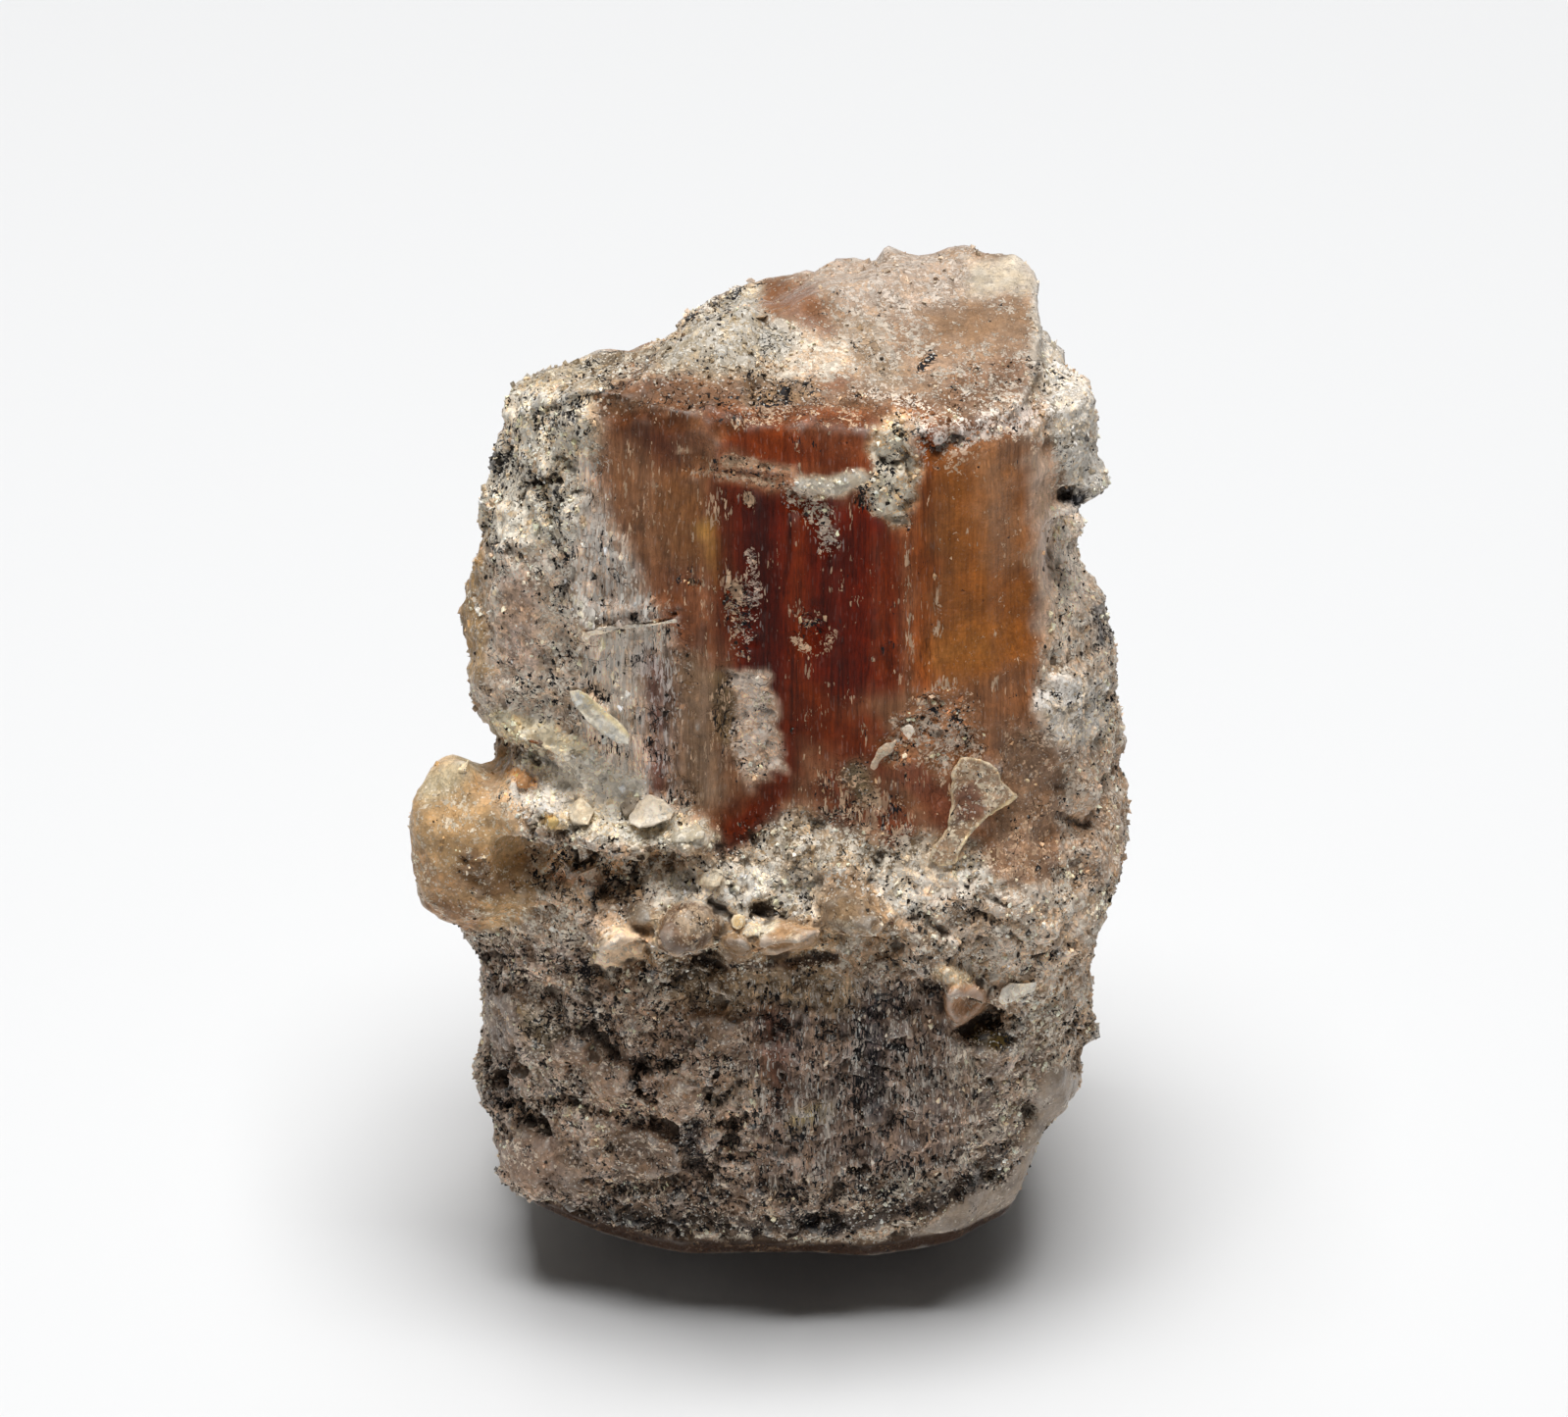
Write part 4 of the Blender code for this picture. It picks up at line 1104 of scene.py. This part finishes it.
micaFlakes = {
    "triangle": chip([(979, 771, 0.14), (999, 773, 0.12), (1017, 784, 0.14), (1021, 796, 0.2),
            (1038, 812, 0.3), (1028, 819, 0.34), (1007, 832, 0.34), (994, 844, 0.32), (985, 856, 0.3),
            (978, 868, 0.26), (975, 880, 0.2), (957, 883, 0.12), (947, 876, 0.1), (949, 866, 0.08),
            (959, 853, 0.08), (966, 841, 0.06), (970, 821, 0.04), (968, 805, 0.06), (971, 787, 0.1)],
            (134, 112, 92), 0.46, 0.26, grain=(192, 176, 152), grit=0.5, flat=0.6, lift=0.08, voxel=0.045,
            bumpy=0.045, edge=(1.4, 2.5, (190, 174, 144), 0.4, 0.02),
            zones=[area([(974, 794), (998, 792), (996, 832), (974, 840)], 6, (100, 72, 58), 0.2, 0.2),
                   line([(1038, 812), (1007, 833), (985, 857),
                         (976, 882)], 2, 2.5, (222, 194, 144), 0.3, 0)]),
    "lens": chip([(579, 704, 0.14), (590, 702, 0.14), (602, 710, 0.18), (617, 724, 0.22), (632, 736, 0.22),
            (642, 749, 0.2), (641, 759, 0.44), (628, 756, 0.62), (613, 747, 0.68), (598, 734, 0.66),
            (586, 718, 0.5)], (224, 218, 204), 0.3, 0, grain=(236, 232, 222), grit=0.15, voxel=0.03,
            bumpy=0.03, thick=0.16,
            zones=[line([(592, 706), (618, 728), (640, 748)], 3, 3, (206, 192, 156), dark=0.06),
                   line([(582, 708), (590, 722), (602, 736), (616, 748),
                         (630, 757)], 3.5, 2.5, (222, 214, 196), 0.5, 0)]),
    "white": chip([(1017, 1020, 0.08), (1021, 1008, 0.16), (1030, 1002, 0.2), (1043, 1003, 0.22),
            (1057, 1000, 0.22), (1055, 1009, 0.26), (1043, 1015, 0.3), (1030, 1021, 0.26),
            (1022, 1024, 0.14)], (230, 222, 208), 0.4, 0.03, grain=(240, 234, 222), voxel=0.035, bumpy=0.02),
}

paleChips = {
    "main": chip([(641, 832, 0.1), (650, 817, 0.12), (661, 809, 0.14), (676, 814, 0.18), (688, 827, 0.26),
            (684, 835, 0.42), (668, 840, 0.5), (652, 843, 0.44), (642, 840, 0.26)], (188, 178, 163), 0.2,
            0.02, grain=(204, 196, 182), grit=0.12, flat=0.2, voxel=0.035, bumpy=0.04),
    "plateEdge": chip([(586, 666, 0.02), (591, 653, 0.05), (598, 643, 0.07), (620, 638, 0.08),
            (660, 635, 0.08), (690, 631, 0.06), (690, 634, 0.07), (660, 638, 0.1), (622, 642, 0.1),
            (602, 648, 0.09), (595, 657, 0.07), (589, 668, 0.03)], (196, 184, 168), 0.45, 0.2,
            grain=(226, 218, 206), grit=0.5, flat=0.2, lift=0.03, voxel=0.03, easing=0, bumpy=0.03),
    "behind": chip([(630, 822, 0.08), (640, 814, 0.14), (652, 813, 0.16), (646, 826, 0.14),
            (638, 832, 0.12)], (140, 130, 118), 0.2, grit=0.2),
    "right": chip([(683, 851, 0.1), (697, 844, 0.22), (711, 839, 0.26), (719, 847, 0.26), (717, 855, 0.24),
            (700, 859, 0.22), (686, 859, 0.12)], (176, 166, 146), 0.3, 0.02, grain=(200, 192, 176),
            grit=0.12, dome=0.08, bumpy=0.03),
    "low": chip([(637, 866, 0.14), (648, 862, 0.22), (663, 869, 0.22), (657, 878, 0.22), (641, 876, 0.18)],
            (196, 186, 170), 0.4, 0.02, grit=0.12),
    "peak": chip([(578, 829, 0.1), (592, 811, 0.2), (607, 826, 0.2), (600, 841, 0.34), (584, 838, 0.3)],
            (176, 164, 144), 0.24, 0.05, grit=0.16, flat=0.1, voxel=0.035, bumpy=0.04),
    "amber": chip([(555, 835, 0.1), (565, 830, 0.18), (570, 838, 0.22), (562, 845, 0.2)], (196, 168, 112),
            0.2, 0.02, grit=0.1, flat=0.3, easing=2, dome=0.08, domeWidth=5),
    "peach": chip([(525, 796, 0.1), (533, 786, 0.18), (541, 793, 0.2), (538, 804, 0.18), (528, 802, 0.16)],
            (176, 132, 92), 0.16, 0.02, grit=0.12, flat=0.3, easing=2, dome=0.1),
    "pair": chip([(709, 900, 0.08), (716, 889, 0.16), (728, 886, 0.18), (738, 889, 0.16), (734, 903, 0.2),
            (722, 906, 0.18)], (182, 170, 150), 0.5, 0.05, grit=0.2, flat=0.3, bumpy=0.06),
    "streak": chip([(886, 782, 0.06), (896, 764, 0.12), (914, 752, 0.14), (912, 760, 0.14), (898, 774, 0.12),
            (890, 786, 0.08)], (178, 158, 138), 0.4, 0.1, flat=0.5, voxel=0.04),
    "corner": chip([(917, 742, 0.08), (926, 737, 0.16), (934, 746, 0.16), (926, 753, 0.12)], (196, 184, 170),
            0.3, 0.02, voxel=0.04),
    "disc": chip([(745, 939, 0.16), (748, 933, 0.2), (753, 931, 0.2), (758, 934, 0.2), (760, 940, 0.2),
            (757, 946, 0.2), (751, 948, 0.2), (746, 945, 0.2)], (176, 152, 112), 0.1, 0.02, grit=0.1,
            flat=0.7, voxel=0.04, easing=2, dome=0.06, domeWidth=5, edge=(1.5, 2, (200, 186, 160))),
}

# Loose grains that sit in the crust. They are drawn at random, more of them where the painting asks for it.
grainSets = {
    "paleGrains": {"count": 13000, "seed": 11, "small": 0.045, "large": 0.16, "key": "grain",
                   "tones": (0.65, 1.5), "weight": "pale", "warm": 0.10, "out": 0.14},
    "tanGrains": {"count": 12000, "seed": 12, "small": 0.05, "large": 0.20, "key": "tint",
                  "tones": (0.7, 1.9), "weight": "grit", "warm": 0.10, "out": 0.10},
    "blackGrains": {"count": 10000, "seed": 13, "small": 0.04, "large": 0.15, "tone": seen(34, 30, 28),
                    "tones": (0.4, 1.8), "weight": "dark", "warm": 0.2, "out": 0.08},
    "chunks": {"count": 2600, "seed": 14, "small": 0.16, "large": 0.42, "key": "tint",
               "tones": (0.75, 1.6), "weight": "grit", "warm": 0.12, "out": -0.22, "textured": 0.75},
}
# Each grain is a chipped double pyramid. They lie in clumps, fewer and taller where the crust is drawn out.
grainForm = {
    "corners": np.array([(1, 0, 0), (0, 1, 0), (-1, 0, 0), (0, -1, 0), (0, 0, 1), (0, 0, -1)], float),
    "faces": np.array([(0, 1, 4), (1, 2, 4), (2, 3, 4), (3, 0, 4),
                       (1, 0, 5), (2, 1, 5), (3, 2, 5), (0, 3, 5)]),
    "reach": 0.55,
    "uneven": 0.7,
    "chipped": 0.22,
    "drawn": 1.2,
    "calm": 0.7,
    "clumps": (0.25, 1.5),
    "clumpSize": 0.9,
    "density": (0.04, 1.2),  # lowest and highest
    "grit": 0.4,
    "aboveFloor": 0.3,
    "lowest": 0.01,
}


def turnsOf(dice, count):
    w, x, y, z = (dice.normal(size=(4, count)) + 1e-9)
    size = np.sqrt(w * w + x * x + y * y + z * z)
    w, x, y, z = w / size, x / size, y / size, z / size
    rows = [[1 - 2 * (y * y + z * z), 2 * (x * y - z * w), 2 * (x * z + y * w)],
            [2 * (x * y + z * w), 1 - 2 * (x * x + z * z), 2 * (y * z - x * w)],
            [2 * (x * z - y * w), 2 * (y * z + x * w), 1 - 2 * (x * x + y * y)]]
    return np.array(rows).transpose(2, 0, 1)


def makeGrainSet(name, grains, ground, material):
    dice = np.random.default_rng(grains["seed"])
    count = grains["count"]
    corners, points, values = ground["corners"], ground["points"], ground["values"]
    first = corners[:, 0]
    a, b, c = (points[corners[:, i]] for i in range(3))
    size = np.linalg.norm(np.cross(b - a, c - a), axis=1)
    wanted = values[grains["weight"]][first, 0] ** 2 * (0.04 + values["grit"][first, 0])
    least, more = grainForm["clumps"]
    clumps = least + more * wander(points, grainForm["clumpSize"], grains["seed"])[first]
    above = points[first, 2] > grainForm["aboveFloor"]
    calm = 1 - grainForm["calm"] * values["streak"][first, 0]
    chance = size * wanted * np.clip(clumps, *grainForm["density"]) * above * calm
    picked = dice.choice(len(corners), count, p=chance / chance.sum())
    share = np.sort(dice.random((2, count)), axis=0)
    weights = np.stack((share[0], share[1] - share[0], 1 - share[1]), 1)
    three, near = corners[picked], first[picked]
    spots = (points[three] * weights[:, :, None]).sum(1)
    span = grains["small"] + (grains["large"] - grains["small"]) * dice.random(count) ** 2.5
    shape = grainForm["corners"] * (grainForm["reach"] + grainForm["uneven"] * dice.random((count, 6, 1)))
    shape = shape + grainForm["chipped"] * dice.normal(size=(count, 6, 3))
    shape = np.einsum("nij,nkj->nki", turnsOf(dice, count), shape * (span / 2)[:, None, None])
    shape[:, :, 2] *= 1 + grainForm["drawn"] * values["streak"][near]
    places = shape + (spots + ground["normals"][near] * (grains["out"] * span)[:, None])[:, None]
    places[:, :, 2] = np.maximum(places[:, :, 2], grainForm["lowest"])
    faces = (grainForm["faces"] + 6 * np.arange(count)[:, None, None]).reshape(-1, 3)
    piece = addFromData(name, places.reshape(-1, 3), faces.tolist())
    low, high = grains["tones"]
    tone = values[grains["key"]][near] if "key" in grains else np.tile(grains["tone"], (count, 1))
    tone = tone * (low + (high - low) * dice.random((count, 1)))
    warm = grains["warm"] * dice.random((count, 1))
    tone = np.clip(tone * np.hstack((1 + 0.2 * warm, 1 - 0.1 * warm, 1 - warm)), 0, 0.9)
    textured = grains.get("textured", 0)
    kept = {key: values[key][near] * textured for key in ("pale", "dark", "streak")}
    kept["tint"], kept["grain"] = tone, values["grain"][near] if textured else tone
    kept["grit"] = np.full((count, 1), grainForm["grit"])
    kept = {key: np.repeat(value, 6, axis=0) for key, value in kept.items()}
    keepPainting(piece, kept, np.repeat(ground["hollow"][near], 6))
    settle(piece, material, smooth=False)


def makeStudio():
    bpy.ops.mesh.primitive_plane_add(size=studio["floorSize"])
    floor = bpy.context.object
    floor.name = "floor"
    material = bpy.data.materials.new("paleFloor")
    material.use_nodes = True
    shader = material.node_tree.nodes["Principled BSDF"].inputs
    shader["Base Color"].default_value = (*studio["floorColor"], 1.0)
    shader["Roughness"].default_value = studio["floorRough"]
    shader["Specular IOR Level"].default_value = studio["floorLevel"]
    floor.data.materials.append(material)
    world = bpy.data.worlds.new("studio")
    world.use_nodes = True
    sky = world.node_tree.nodes["Background"].inputs
    sky["Color"].default_value = (*studio["skyColor"], 1.0)
    sky["Strength"].default_value = studio["skyStrength"]
    bpy.context.scene.world = world
    for name, (size, place, power) in studio["lamps"].items():
        bpy.ops.object.light_add(type="AREA", location=place)
        lamp = bpy.context.object
        lamp.name = name
        lamp.data.shape = "RECTANGLE"
        lamp.data.size, lamp.data.size_y = size
        lamp.data.energy = power
        lamp.rotation_euler = (Vector(studio["aim"]) - lamp.location).to_track_quat("-Z", "Y").to_euler()


def makeCamera():
    bpy.ops.object.camera_add(location=Vector(eye) / perMetre)
    camera = bpy.context.object
    camera.rotation_euler = (math.pi / 2 - tilt, 0, 0)
    camera.data.sensor_width = view["sensor"]
    camera.data.lens = view["sensor"] * view["away"] / (view["frame"][0] * view["pixel"])
    camera.data.clip_start = 0.01
    bpy.context.scene.camera = camera
    bpy.context.scene.view_settings.view_transform = "Standard"


deselectAll()
makeCamera()
makeStudio()
print("camera and studio are in place")
childrenite = makeCrystalMaterial()
crystal, ground = makeCrystal(childrenite)
skin = BVHTree.FromPolygons(ground["points"].tolist(), ground["corners"].tolist())
for name, chips in (("micaFlakes", micaFlakes), ("paleChips", paleChips)):
    makeChips(name, chips, skin, childrenite)
for name, grains in grainSets.items():
    makeGrainSet(name, grains, ground, childrenite)
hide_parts(crystalNode)
